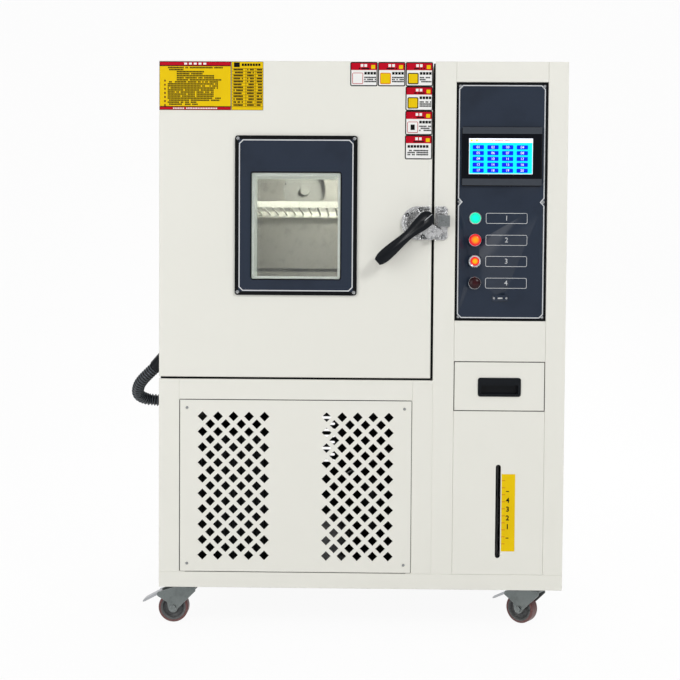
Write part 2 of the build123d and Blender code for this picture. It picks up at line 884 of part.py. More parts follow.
with BuildPart() as control_panel:
    with BuildSketch(Plane.XZ.offset(-y_control)):
        with Locations((x_column, (z_control0 + z_control1) / 2)):
            Rectangle(column_bay_width - 2 * seam, z_control1 - z_control0 - 2 * seam)
            with GridLocations(
                column_bay_width - 2 * fastener_inset, z_control1 - z_control0 - 2 * fastener_inset, 2, 2
            ):
                Circle(screw_hole / 2, mode=Mode.SUBTRACT)
            with GridLocations(column_bay_width - 2 * fastener_inset, 0, 2, 1):
                Circle(screw_hole / 2, mode=Mode.SUBTRACT)
        with Locations((x_column, z_screen)):
            Rectangle(
                screen_width - 2 * screen_body_margin,
                screen_height - 2 * screen_body_margin,
                mode=Mode.SUBTRACT,
            )
        for hole_height in (light_button_height, power_lamp_height, power_button_height, alarm_lamp_height):
            with Locations((x_controls, z_base + hole_height)):
                Circle(button_hole / 2, mode=Mode.SUBTRACT)
        with Locations((x_column, z_base + socket_height)):
            Rectangle(socket_width / 2, socket_plate_height - 4, mode=Mode.SUBTRACT)
    extrude(amount=-control_plate)
with BuildPart() as service_socket:
    with BuildSketch(Plane.XZ.offset(-y_control)):
        with Locations((x_column, z_base + socket_height)):
            RectangleRounded(socket_width, socket_plate_height, 4)
    extrude(amount=2)
    with BuildSketch(Plane.XZ.offset(-y_control)):
        with Locations((x_column, z_base + socket_height)):
            Rectangle(socket_width / 2 - seam, socket_plate_height - 4 - seam)
    extrude(amount=-socket_depth)
    with BuildSketch(Plane.XZ.offset(-(y_control - 2))):
        with Locations((x_column, z_base + socket_height)):
            Rectangle(12.5, 5)
    extrude(amount=-14, mode=Mode.SUBTRACT)
keep("control_panel", control_panel.part, service_socket.part)

with BuildPart() as touch_screen:
    with BuildSketch(Plane.XZ.offset(-y_control)):
        with Locations((x_column, z_screen)):
            RectangleRounded(screen_width, screen_height, 5)
    extrude(amount=screen_bezel)
    chamfer(touch_screen.faces().sort_by(Axis.Y)[0].edges(), 3)
    with BuildSketch(Plane.XZ.offset(-y_control)):
        with Locations((x_column, z_screen)):
            Rectangle(
                screen_width - 2 * screen_body_margin - 2 * seam,
                screen_height - 2 * screen_body_margin - 2 * seam,
            )
    extrude(amount=-screen_body_depth)
    with BuildSketch(Plane.XZ.offset(-(y_control - screen_bezel))):
        with Locations((x_column - display_left_shift, z_screen)):
            Rectangle(display_width, display_height)
    extrude(amount=-display_depth, mode=Mode.SUBTRACT)
keep("touch_screen", touch_screen.part)


def panel_fitting(height):
    """Threaded bezel and body of a 22 mm button or lamp, open at the front."""
    with BuildPart() as fitting:
        with BuildSketch(Plane.XZ.offset(-y_control)):
            with Locations((x_controls, z_base + height)):
                Circle(button_bezel / 2)
        extrude(amount=button_bezel_thickness)
        chamfer(fitting.faces().sort_by(Axis.Y)[0].edges(), 1.5)
        with BuildSketch(Plane.XZ.offset(-y_control)):
            with Locations((x_controls, z_base + height)):
                Circle(button_hole / 2 - running)
        extrude(amount=-button_body_depth)
        with BuildSketch(Plane.XZ.offset(-(y_control - button_bezel_thickness))):
            with Locations((x_controls, z_base + height)):
                Circle(button_bore / 2)
        extrude(
            amount=-(button_cap_length + button_travel + button_bezel_thickness - button_proud + seam),
            mode=Mode.SUBTRACT,
        )
    return fitting.part


def lamp_cap(height):
    """Domed lens that fills the front of a lamp's body."""
    rim = button_bore / 2
    front = y_control - button_bezel_thickness
    dome_radius = (rim**2 + lamp_cap_height**2) / (2 * lamp_cap_height)
    dome_middle = dome_radius - lamp_cap_height - sqrt(dome_radius**2 - (rim / 2) ** 2)
    with BuildPart() as lens:
        cap_section = Plane(origin=(x_controls, front, z_base + height), x_dir=(1, 0, 0), z_dir=(0, 0, 1))
        with BuildSketch(cap_section):
            with BuildLine():
                Line((0, button_cap_length), (rim, button_cap_length))
                Line((rim, button_cap_length), (rim, 0))
                ThreePointArc((rim, 0), (rim / 2, dome_middle), (0, -lamp_cap_height))
                Line((0, -lamp_cap_height), (0, button_cap_length))
            make_face()
        revolve(axis=Axis((x_controls, front, z_base + height), (0, 1, 0)))
    return lens.part


def push_cap(height):
    """Moving cap of a push button, with a slightly dished front."""
    front = y_control - button_bezel_thickness - button_proud
    with BuildPart() as cap:
        with BuildSketch(Plane.XZ.offset(-front)):
            with Locations((x_controls, z_base + height)):
                Circle(button_bore / 2 - button_cap_play)
        extrude(amount=-button_cap_length)
        chamfer(cap.faces().sort_by(Axis.Y)[0].edges(), 0.8)
        with BuildSketch(Plane.XZ.offset(-front)):
            with Locations((x_controls, z_base + height)):
                Circle(button_bore / 2 - 3)
        extrude(amount=-0.8, mode=Mode.SUBTRACT, taper=30)
    return cap.part


keep(
    "pilot_lamps",
    panel_fitting(light_button_height),
    panel_fitting(power_lamp_height),
    panel_fitting(power_button_height),
    panel_fitting(alarm_lamp_height),
    lamp_cap(power_lamp_height),
    lamp_cap(alarm_lamp_height),
)
keep("light_button", push_cap(light_button_height))
keep("power_button", push_cap(power_button_height))

# Filling drawer on two runners
drawer_play = 2.0
drawer_front_depth = 18.0
drawer_length = 300.0
drawer_tray_width = 186.0
drawer_tray_height = 84.0
drawer_floor_gap = 14.0  # from the drawer front's lower edge to the tray
runner_height = 16.0
runner_thickness = 5.0
runner_play = 0.3
pull_width = 104.5
pull_height = 46.0
pull_rim = 3.0
pull_depth = 15.0
pull_wall = 2.0
pull_centre = 498.5  # height above the underside of the cabinet
pull_lip = 12.0
pull_rim_width = 5.0
x_tray0 = x_column - drawer_tray_width / 2
x_tray1 = x_column + drawer_tray_width / 2
z_tray0 = z_drawer0 + drawer_floor_gap
z_tray1 = z_tray0 + drawer_tray_height
y_tray0 = y_front + drawer_front_depth
y_tray1 = y_tray0 + drawer_length
z_pull = z_base + pull_centre
pull_pocket_width = pull_width - 2 * pull_rim_width
pull_pocket_height = pull_height - 2 * pull_rim_width

with BuildPart() as drawer_front:
    add(
        folded_tray(
            x_column0 + drawer_play,
            x_column1 - drawer_play,
            z_drawer0 + drawer_play,
            z_drawer1 - drawer_play,
            y_front,
            drawer_front_depth,
        )
    )
    with BuildSketch(Plane.XZ.offset(-y_front)):
        with Locations((x_column, z_pull)):
            RectangleRounded(pull_pocket_width + seam, pull_pocket_height + seam, 4)
    extrude(amount=-sheet, mode=Mode.SUBTRACT)
keep("drawer_front", drawer_front.part)

with BuildPart() as drawer_tray:
    block(x_tray0, x_tray1, y_tray0, y_tray1, z_tray0, z_tray1)
    block(
        x_tray0 + sheet,
        x_tray1 - sheet,
        y_tray0 + sheet,
        y_tray1 - sheet,
        z_tray0 + sheet,
        z_tray1,
        mode=Mode.SUBTRACT,
    )
    block(
        x_column0 + drawer_play,
        x_column1 - drawer_play,
        y_tray0,
        y_tray0 + sheet,
        z_drawer0 + drawer_play,
        z_drawer1 - drawer_play,
    )
keep("drawer_tray", drawer_tray.part)

with BuildPart() as drawer_pull:
    with BuildSketch(Plane.XZ.offset(-y_front)):
        with Locations((x_column, z_pull)):
            RectangleRounded(pull_width, pull_height, 6)
    extrude(amount=pull_rim)
    chamfer(drawer_pull.faces().sort_by(Axis.Y)[0].edges(), 1.2)
    with BuildSketch(Plane.XZ.offset(-y_front)):
        with Locations((x_column, z_pull)):
            RectangleRounded(pull_pocket_width, pull_pocket_height, 4)
    extrude(amount=-pull_depth)
    with BuildSketch(Plane.XZ.offset(-(y_front - pull_rim))):
        with Locations((x_column, z_pull - pull_lip / 2)):
            RectangleRounded(pull_pocket_width - 2 * pull_wall, pull_pocket_height - pull_lip - pull_wall, 3)
    extrude(amount=-(pull_depth + pull_rim - pull_wall), mode=Mode.SUBTRACT)
    block(
        x_column - pull_pocket_width / 2 + pull_wall,
        x_column + pull_pocket_width / 2 - pull_wall,
        y_front + pull_wall,
        y_front + pull_depth - pull_wall,
        z_pull,
        z_pull + pull_pocket_height / 2 - pull_wall,
        mode=Mode.SUBTRACT,
    )
keep("drawer_pull", drawer_pull.part)

runner_parts = []
for side, tray_x in ((-1, x_tray0), (1, x_tray1)):
    runner_x = tray_x + side * runner_play
    front_seat_x = x_column + side * (column_bay_width / 2 + ledge_width)
    rear_seat_x = x_post0 if side < 0 else x_in1
    with BuildPart() as runner:
        block(
            min(runner_x, runner_x + side * runner_thickness),
            max(runner_x, runner_x + side * runner_thickness),
            y_front + column_panel_depth + 10,
            y_tray1,
            z_tray0 + drawer_tray_height / 2 - runner_height,
            z_tray0 + drawer_tray_height / 2 + runner_height,
        )
        block(
            min(runner_x, tray_x - side * runner_height / 2),
            max(runner_x, tray_x - side * runner_height / 2),
            y_front + column_panel_depth + 10,
            y_tray1,
            z_tray0 - runner_play - sheet,
            z_tray0 - runner_play,
        )
        block(
            min(runner_x, runner_x + side * sheet),
            max(runner_x, runner_x + side * sheet),
            y_front + column_panel_depth + 10,
            y_tray1,
            z_tray0 - runner_play - sheet,
            z_tray0 + drawer_tray_height / 2,
        )
        for bracket_y, seat_x in ((y_inside, front_seat_x), (y_tray1 - runner_height, rear_seat_x)):
            block(
                min(runner_x, seat_x),
                max(runner_x, seat_x),
                bracket_y,
                bracket_y + runner_height,
                z_tray0 + drawer_tray_height / 2 - runner_height,
                z_tray0 + drawer_tray_height / 2 + runner_height,
            )
    runner_parts.append(runner.part)
keep("drawer_runners", *runner_parts)

# Water tank and its sight tube behind the slot
tank_width = 170.0
tank_height = 365.0
tank_depth = 260.0
tank_lift = 20.0  # tank bottom above the floor plate
tank_wall = 3.0
tube_diameter = 10.0
tube_bore = 7.0
tube_setback = 14.0
elbow_size = 16.0
tank_gap = 44.0
tank_stand = 3.0
z_tank0 = z_floor_plate + tank_lift
z_tank1 = z_tank0 + tank_height
y_tank0 = y_front + tank_gap
y_tank1 = y_tank0 + tank_depth
tube_foot = 25.0
tube_head = 20.0
tube_low = z_tank0 + tube_foot
tube_high = z_tank1 - tube_head
with BuildPart() as water_tank:
    block(x_column - tank_width / 2, x_column + tank_width / 2, y_tank0, y_tank1, z_tank0, z_tank1)
    fillet(water_tank.edges().filter_by(Axis.Z), 12)
    block(
        x_column - tank_width / 2 + tank_wall,
        x_column + tank_width / 2 - tank_wall,
        y_tank0 + tank_wall,
        y_tank1 - tank_wall,
        z_tank0 + tank_wall,
        z_tank1,
        mode=Mode.SUBTRACT,
    )
with BuildPart() as tank_stand_frame:
    block(x_column - tank_width / 2, x_column + tank_width / 2, y_tank0, y_tank1, z_floor_plate, z_tank0)
    block(
        x_column - tank_width / 2 + tank_stand,
        x_column + tank_width / 2 - tank_stand,
        y_tank0,
        y_tank1,
        z_floor_plate,
        z_tank0 - tank_stand,
        mode=Mode.SUBTRACT,
    )
keep("water_tank", water_tank.part, tank_stand_frame.part)

with BuildPart() as sight_tube:
    with BuildSketch(Plane.XY.offset(tube_low)):
        with Locations((x_column, y_front + tube_setback)):
            Circle(tube_diameter / 2)
            Circle(tube_bore / 2, mode=Mode.SUBTRACT)
    extrude(amount=tube_high - tube_low)
elbows = []
for elbow_z in (tube_low - elbow_size, tube_high):
    with BuildPart() as elbow:
        block(
            x_column - elbow_size / 2,
            x_column + elbow_size / 2,
            y_front + tube_setback - elbow_size / 2,
            y_front + tube_setback + elbow_size / 2,
            elbow_z,
            elbow_z + elbow_size,
        )
        block(
            x_column - elbow_size / 4,
            x_column + elbow_size / 4,
            y_front + tube_setback + elbow_size / 2,
            y_tank0,
            elbow_z + elbow_size / 4,
            elbow_z + elbow_size * 3 / 4,
        )
        chamfer(elbow.edges().filter_by(Axis.Y), 1.5)
    elbows.append(elbow.part)
keep("level_tube", sight_tube.part, *elbows)

# Latch: base and lever on the door, keeper on the column post
latch_pivot_inset = 16.0  # from the door's free edge
latch_pivot_height = 902.0
latch_base_inset = 3.0
latch_base_low = 855.0
latch_rim = 7.0
latch_housing_height = 14.0
latch_boss_diameter = 30.0
latch_screw_head = 9.0
latch_screw_seat = 3.0
latch_screws = [(-25.7, 19.0), (6.5, 32.8), (11.5, -32.5)]  # from the middle of the round side
latch_pocket_shift = 3.0
latch_pocket_lift = 29.5
latch_pocket_width = 14.0
latch_pocket_height = 10.0
latch_pocket_depth = 2.5
spindle_diameter = 12.0
spindle_depth = 40.0
tongue_radius = 50.0
tongue_first = -80.0  # directions of the tongue's edges at rest, degrees from +X
tongue_last = -31.0
tongue_thickness = 9.0
tongue_back = 12.0  # from the door's face to the back of the tongue
lever_head_radius = 19.0
lever_neck = 12.4
lever_grip = 15.4
lever_end = 8.8
lever_crown = 4.5  # the ridge stands this far above the lever's sides
lever_crown_reach = 20.0
lever_edge = 1.2
lever_groove_length = 25.0
lever_groove_width = 1.6
keeper_width = 30.0
keeper_thickness = 4.0
keeper_inset = 2.0  # from the post's free edge
keeper_bridge_inset = 7.6
keeper_bridge_width = 28.4
keeper_bridge_low = 886.0
keeper_bridge_high = 912.6
keeper_bridge_back = 23.0
keeper_bridge_thickness = 4.0
keeper_corner = 6.0
keeper_screw_x = 5.5
keeper_screw_z = 31.5
keeper_boss_inset = 8.2
keeper_boss_lift = 27.0
keeper_boss_diameter = 11.0
keeper_boss_height = 2.0
x_pivot = x_door1 - latch_pivot_inset
z_pivot = z_base + latch_pivot_height
latch_radius = latch_base_height / 2
x_latch_round = x_door1 - latch_base_inset - latch_base_width + latch_radius
z_latch = z_base + latch_base_low + latch_radius
latch_straight = latch_base_width - latch_radius
x_bridge0 = x_post0 + keeper_bridge_inset
x_bridge1 = x_bridge0 + keeper_bridge_width

with BuildPart() as latch_base:
    with BuildSketch(Plane.XZ.offset(-y_front)) as base_outline:
        with Locations((x_latch_round, z_latch)):
            Circle(latch_radius)
        with Locations((x_latch_round + latch_straight / 2, z_latch)):
            Rectangle(latch_straight, latch_base_height)
        right_of_base = x_latch_round + latch_straight + latch_radius
        with Locations((right_of_base, z_latch)):
            Rectangle(2 * latch_radius, 3 * latch_radius, mode=Mode.SUBTRACT)
    extrude(amount=latch_base_thickness)
    fillet(latch_base.faces().sort_by(Axis.Y)[0].edges(), 1.5)
    with BuildSketch(Plane.XZ.offset(-(y_front - latch_base_thickness))):
        with Locations((x_latch_round, z_latch)):
            Circle(latch_radius - latch_rim)
            Circle(latch_radius - 2.2 * latch_rim, mode=Mode.SUBTRACT)
        with Locations((x_pivot, z_latch)):
            Rectangle(2 * (x_pivot - x_latch_round), 3 * latch_radius, mode=Mode.SUBTRACT)
    extrude(amount=latch_housing_height - latch_base_thickness, taper=12)
    with BuildSketch(Plane.XZ.offset(-(y_front - latch_base_thickness))):
        with Locations((x_pivot, z_pivot)):
            Circle(latch_boss_diameter / 2 - 2)
    extrude(amount=tongue_back - latch_base_thickness - seam)
    with BuildSketch(Plane.XZ.offset(-(y_front - tongue_back))):
        with Locations((x_pivot, z_pivot)):
            Circle(spindle_diameter / 2 + running)
    extrude(amount=-tongue_back, mode=Mode.SUBTRACT)
    with BuildSketch(Plane.XZ.offset(-(y_front - latch_base_thickness))):
        with Locations((x_pivot + latch_pocket_shift, z_latch + latch_pocket_lift)):
            Rectangle(latch_pocket_width, latch_pocket_height)
    extrude(amount=-latch_pocket_depth, mode=Mode.SUBTRACT)
    for shift, lift in latch_screws:
        with BuildSketch(Plane.XZ.offset(-(y_front - latch_housing_height))):
            with Locations((x_latch_round + shift, z_latch + lift)):
                Circle(latch_screw_head / 2)
        extrude(amount=-(latch_housing_height - latch_screw_seat), mode=Mode.SUBTRACT)
        with BuildSketch(Plane.XZ.offset(-y_front)):
            with Locations((x_latch_round + shift, z_latch + lift)):
                Circle(screw_hole / 2)
        extrude(amount=latch_screw_seat, mode=Mode.SUBTRACT)
keep("latch_base", latch_base.part)

lever_direction = Vector(cos(radians(lever_angle)), 0, sin(radians(lever_angle)))
# The lever is shaped round the origin and then moved to its pivot, because its fillets fail in some places
lever_plane = Plane(origin=(0, 0, 0), x_dir=lever_direction, z_dir=(0, -1, 0))
lever_section = Plane(origin=lever_plane.origin, x_dir=lever_plane.y_dir, z_dir=lever_direction)
neck_at = 48.0
grip_at = 118.0
with BuildPart() as lever_body:
    with BuildSketch(lever_plane):
        with BuildLine():
            Spline(
                (0, lever_head_radius),
                (neck_at, lever_neck),
                (grip_at, lever_grip),
                (lever_length, lever_end),
                tangents=[(1, 0), (0.8, -0.6)],
            )
            Line((lever_length, lever_end), (lever_length, -lever_end))
            Spline(
                (lever_length, -lever_end),
                (grip_at, -lever_grip),
                (neck_at, -lever_neck),
                (0, -lever_head_radius),
                tangents=[(-0.8, -0.6), (-1, 0)],
            )
            ThreePointArc((0, -lever_head_radius), (-lever_head_radius, 0), (0, lever_head_radius))
        make_face()
    extrude(amount=lever_thickness)
    fillet(lever_body.faces().sort_by(Axis.Y)[-1].edges(), 1.5)
    with BuildSketch(lever_section.offset(-2 * lever_head_radius)):
        for way in (-1, 1):
            with BuildLine():
                Polyline(
                    (0, lever_thickness),
                    (way * lever_crown_reach, lever_thickness),
                    (way * lever_crown_reach, lever_thickness - lever_crown),
                    close=True,
                )
            make_face()
    extrude(amount=lever_length + 3 * lever_head_radius, mode=Mode.SUBTRACT)
    front_faces = lever_body.faces().sort_by(Axis.Y)[:2]
    ridge = lever_length + lever_head_radius / 2
    fillet(front_faces.edges().filter_by(lambda edge: edge.length < ridge), lever_edge)
    with BuildSketch(lever_plane.offset(lever_thickness)):
        with Locations((lever_groove_length / 2 - lever_head_radius, 0)):
            Rectangle(lever_groove_length, lever_groove_width)
    extrude(amount=-lever_groove_width, mode=Mode.SUBTRACT)
with BuildPart() as tongue:
    with BuildSketch(Plane.XZ.offset(-(y_front - tongue_back))):
        with BuildLine():
            first = radians(tongue_first)
            last = radians(tongue_last)
            middle = (first + last) / 2
            boss = latch_boss_diameter / 2
            tip = [
                (x_pivot + r * cos(a), z_pivot + r * sin(a))
                for r, a in (
                    (boss, first),
                    (tongue_radius, first),
                    (tongue_radius, middle),
                    (tongue_radius, last),
                    (boss, last),
                )
            ]
            Line(tip[0], tip[1])
            ThreePointArc(tip[1], tip[2], tip[3])
            Line(tip[3], tip[4])
            Line(tip[4], (x_pivot, z_pivot))
            Line((x_pivot, z_pivot), tip[0])
        make_face()
        with Locations((x_pivot, z_pivot)):
            Circle(boss)
    extrude(amount=tongue_thickness)
    chamfer(tongue.faces().sort_by(Axis.Y)[0].edges(), 1.2)
    with BuildSketch(Plane.XZ.offset(-(y_front - lever_standoff))):
        with Locations((x_pivot, z_pivot)):
            Circle(spindle_diameter / 2)
    extrude(amount=-lever_standoff)
lever_place = Pos(x_pivot, y_front - lever_standoff, z_pivot)
keep("latch_lever", lever_place * lever_body.part, tongue.part)

with BuildPart() as strike_keeper:
    with BuildSketch(Plane.XZ.offset(-y_front)):
        with Locations((x_post0 + keeper_inset + keeper_width / 2, z_latch)):
            Rectangle(keeper_width, latch_base_height)
            keeper_screws = [(keeper_screw_x, keeper_screw_z), (keeper_screw_x, -keeper_screw_z)]
            with Locations(*keeper_screws):
                Circle(screw_hole / 2, mode=Mode.SUBTRACT)
    extrude(amount=keeper_thickness)
    chamfer(strike_keeper.edges().filter_by(Axis.Y).sort_by(Axis.X)[-2:], keeper_corner)
    with BuildSketch(Plane.XZ.offset(-(y_front - keeper_thickness))):
        with Locations((x_post0 + keeper_boss_inset, z_latch + keeper_boss_lift)):
            Circle(keeper_boss_diameter / 2)
            Circle(screw_hole / 2, mode=Mode.SUBTRACT)
    extrude(amount=keeper_boss_height)
    block(
        x_bridge1 - keeper_bridge_thickness,
        x_bridge1,
        y_front - keeper_bridge_back - keeper_bridge_thickness,
        y_front,
        z_base + keeper_bridge_low,
        z_base + keeper_bridge_high,
    )
    block(
        x_bridge0,
        x_bridge1,
        y_front - keeper_bridge_back - keeper_bridge_thickness,
        y_front - keeper_bridge_back,
        z_base + keeper_bridge_low,
        z_base + keeper_bridge_high,
    )
keep("strike_keeper", strike_keeper.part)

# Two butt hinges outside the left edge, with their pins held in the cabinet's leaves
hinge_outboard = 5.3  # from the cabinet's side to the pin's axis
hinge_height = 90.0
hinge_low = 640.0
hinge_high = 1165.0
knuckle_diameter = 9.0
hinge_pin = 5.0
hinge_leaf = 2.5
hinge_leaf_length = 42.0
knuckle_gap = 0.4
knuckle_length = hinge_height / 3
x_hinge = x_left - hinge_outboard
y_hinge = (y_door_back + y_seat) / 2
leaf_gap = 1.5


def hinge_leaves(side, knuckles, bore, pin=False):
    """Both hinges' leaves of one kind. Side is -1 on the door and 1 on the cabinet."""
    leaves = []
    for hinge_z in (z_base + hinge_low, z_base + hinge_high):
        bottom = hinge_z - hinge_height / 2
        with BuildPart() as leaf:
            near = y_hinge + side * leaf_gap
            far = y_hinge + side * hinge_leaf_length
            block(x_left - hinge_leaf, x_left, min(near, far), max(near, far), bottom, bottom + hinge_height)
            for index in range(3):
                z0 = bottom + index * knuckle_length
                z1 = z0 + knuckle_length
                if index in knuckles:
                    z0 += knuckle_gap / 2 if index else 0
                    z1 -= knuckle_gap / 2 if index < 2 else 0
                    block(x_hinge, x_left, min(y_hinge, near), max(y_hinge, near), z0, z1)
                    with BuildSketch(Plane.XY.offset(z0)):
                        with Locations((x_hinge, y_hinge)):
                            Circle(knuckle_diameter / 2)
                    extrude(amount=z1 - z0)
                else:
                    cut = knuckle_diameter / 2 + leaf_gap
                    z0 -= knuckle_gap / 2 if index else 0
                    z1 += knuckle_gap / 2 if index < 2 else 0
                    block(
                        x_hinge - cut,
                        x_left,
                        y_hinge - cut,
                        y_hinge + cut,
                        z0,
                        z1,
                        mode=Mode.SUBTRACT,
                    )
            if bore:
                with BuildSketch(Plane.XY.offset(bottom)):
                    with Locations((x_hinge, y_hinge)):
                        Circle(bore / 2)
                extrude(amount=hinge_height, mode=Mode.SUBTRACT)
            if pin:
                with BuildSketch(Plane.XY.offset(bottom)):
                    with Locations((x_hinge, y_hinge)):
                        Circle(hinge_pin / 2)
                extrude(amount=hinge_height)
        leaves.append(leaf.part)
    return leaves


keep("hinge_frame_leaves", *hinge_leaves(1, (0, 2), 0, pin=True))
keep("hinge_door_leaves", *hinge_leaves(-1, (1,), hinge_pin + 2 * running))

# Corrugated conduit with the door's wiring, between a gland on the door's edge and one on the cabinet
conduit_diameter = 28.5
gland_diameter = 36.0
gland_flange = 4.0
conduit_points = [
    (-12.0, 30.0, 541.0),
    (-38.0, 42.0, 513.0),
    (-62.0, 60.0, 486.0),
    (-64.0, 88.0, 456.0),
    (-42.0, 112.0, 449.0),
    (-10.0, 112.0, 449.0),
]  # to the right of the cabinet's left side, behind its front, above its underside
route = [Vector(x_left + right, y_front + back, z_base + up) for right, back, up in conduit_points]
runs = [second - first for first, second in zip(route, route[1:])]
bend_radii = [
    0.45 * min(before.length, after.length) / tan(radians(before.get_angle(after)) / 2)
    for before, after in zip(runs, runs[1:])
]
with BuildPart() as door_conduit:
    with BuildLine() as conduit_path:
        FilletPolyline(*route, radius=bend_radii)
    with BuildSketch(Plane(origin=route[0], z_dir=runs[0])):
        Circle(conduit_diameter / 2)
    sweep()
conduit_length = conduit_path.wires()[0].length
section_volume = pi * (conduit_diameter / 2) ** 2 * conduit_length
print("conduit radii", [round(r, 1) for r in bend_radii], "length", round(conduit_length, 1))
print("conduit volume over section times length", round(door_conduit.part.volume / section_volume, 4))
keep("door_conduit", door_conduit.part)

with BuildPart() as conduit_gland_door:
    with BuildSketch(Plane(origin=route[0], z_dir=runs[0])):
        Circle(gland_diameter / 2 - 1)
    extrude(amount=-2 * gland_diameter)
    with BuildSketch(Plane.YZ.offset(x_left)):
        with Locations((route[0].Y - 5, route[0].Z + 13)):
            Circle(gland_diameter / 2 + 2)
    extrude(amount=-gland_flange)
    split(bisect_by=Plane.YZ.offset(x_left), keep=Keep.BOTTOM)
keep("conduit_gland_door", conduit_gland_door.part)

power_gland_length = 22.0
gland_nut = 26.0
with BuildPart() as conduit_gland_frame:
    with BuildSketch(Plane.YZ.offset(route[-1].X)):
        with Locations((route[-1].Y, route[-1].Z)):
            Circle(gland_diameter / 2 - 1)
    extrude(amount=x_left - route[-1].X)
    with BuildSketch(Plane.YZ.offset(x_left)):
        with Locations((route[-1].Y, route[-1].Z)):
            RegularPolygon(gland_diameter / 2 + 3, 6)
    extrude(amount=-gland_flange)
with BuildPart() as power_gland:
    with BuildSketch(Plane.XZ.offset(-(y_in1 - gland_flange))):
        with Locations((x_power_gland, z_power_gland)):
            Circle(gland_thread / 2)
    extrude(amount=-(gland_flange + sheet))
    with BuildSketch(Plane.XZ.offset(-y_back)):
        with Locations((x_power_gland, z_power_gland)):
            RegularPolygon(gland_nut / 2, 6)
    extrude(amount=-power_gland_length)
    chamfer(power_gland.faces().sort_by(Axis.Y)[-1].edges(), 2)
    with BuildSketch(Plane.XZ.offset(-(y_in1 - gland_flange))):
        with Locations((x_power_gland, z_power_gland)):
            Circle(gland_bore / 2)
    extrude(amount=-(2 * power_gland_length), mode=Mode.SUBTRACT)
keep("cable_glands", conduit_gland_frame.part, power_gland.part)

# Test port through the left wall, with its plug
plug_length = 60.0
port_plug_play = 0.5
port_plug_cap = 12.0
port_lip = 2.0  # how far the port's tube stands into the chamber
port_inner = x_chamber0 + port_lip
with BuildPart() as test_port:
    with BuildSketch(Plane.YZ.offset(x_left - port_flange_thickness)):
        with Locations((y_port, z_port)):
            Circle(port_flange_diameter / 2)
            Circle(test_port_bore / 2, mode=Mode.SUBTRACT)
            with PolarLocations(port_flange_diameter / 2 - 8, 4, 45):
                Circle(screw_hole / 2, mode=Mode.SUBTRACT)
    extrude(amount=port_flange_thickness)
    with BuildSketch(Plane.YZ.offset(x_left)):
        with Locations((y_port, z_port)):
            Circle(port_outer / 2)
            Circle(test_port_bore / 2, mode=Mode.SUBTRACT)
    extrude(amount=port_inner - x_left)
keep("test_port", test_port.part)

x_port_cap = x_left - port_flange_thickness - seam
with BuildPart() as test_port_plug:
    with BuildSketch(Plane.YZ.offset(x_port_cap)):
        with Locations((y_port, z_port)):
            Circle(test_port_bore / 2 - port_plug_play)
    extrude(amount=plug_length, taper=0.3)
    with BuildSketch(Plane.YZ.offset(x_port_cap)):
        with Locations((y_port, z_port)):
            Circle(test_port_bore / 2 + 5)
    extrude(amount=-port_plug_cap)
    fillet(test_port_plug.faces().sort_by(Axis.X)[0].edges(), 3)
keep("test_port_plug", test_port_plug.part)

# Air circulation: motor behind the rear insulation, blower wheel in the plenum
motor_diameter = 110.0
motor_length = 120.0
motor_flange = 150.0
motor_plate = 4.0
y_motor = y_insulation_back + seam
blower_gap = 14.0
y_wheel0 = y_baffle + blower_gap
with BuildPart() as blower_motor:
    with BuildSketch(Plane.XZ.offset(-y_motor)):
        with Locations((x_door, z_blower)):
            Rectangle(motor_flange, motor_flange)
            Circle(shaft_hole / 2, mode=Mode.SUBTRACT)
    extrude(amount=-motor_plate)
    with BuildSketch(Plane.XZ.offset(-(y_motor + motor_plate))):
        with Locations((x_door, z_blower)):
            Circle(motor_diameter / 2)
            with PolarLocations(motor_diameter / 2, 12):
                Rectangle(8, 4, mode=Mode.SUBTRACT)
    extrude(amount=-motor_length)
    with BuildSketch(Plane.XZ.offset(-(y_motor + motor_plate))):
        with Locations((x_door, z_blower)):
            Circle(shaft_diameter / 2 + running)
    extrude(amount=-motor_length / 2, mode=Mode.SUBTRACT)
keep("blower_motor", blower_motor.part)

with BuildPart() as blower_wheel:
    with BuildSketch(Plane.XZ.offset(-(y_wheel0 + wheel_depth))):
        with Locations((x_door, z_blower)):
            Circle(wheel_outer / 2)
    extrude(amount=-2)
    with BuildSketch(Plane.XZ.offset(-y_wheel0)):
        with Locations((x_door, z_blower)):
            Circle(wheel_outer / 2)
            Circle(wheel_outer / 2 - 16, mode=Mode.SUBTRACT)
    extrude(amount=-2)
    with BuildSketch(Plane.XZ.offset(-(y_wheel0 + 1))):
        with Locations((x_door, z_blower)):
            with PolarLocations(wheel_outer / 2 - 9, wheel_blades):
                Rectangle(15, 1.5, rotation=32)
    extrude(amount=-wheel_depth)
    with BuildSketch(Plane.XZ.offset(-(y_wheel0 + wheel_depth / 2))):
        with Locations((x_door, z_blower)):
            Circle(shaft_diameter)
    extrude(amount=-wheel_depth / 2)
    with BuildSketch(Plane.XZ.offset(-(y_wheel0 + wheel_depth / 2))):
        with Locations((x_door, z_blower)):
            Circle(shaft_diameter / 2)
    extrude(amount=-(y_motor + motor_plate + motor_length / 2 - 5 - y_wheel0 - wheel_depth / 2))
keep("blower_wheel", blower_wheel.part)

# Cooling coil and heater in the plenum, under the blower
coil_width = 340.0
coil_height = 150.0
coil_depth = 60.0
coil_lift = 40.0
fin_pitch = 12.0
fin_slot = 8.0
heater_rods = 3
heater_rod = 8.0


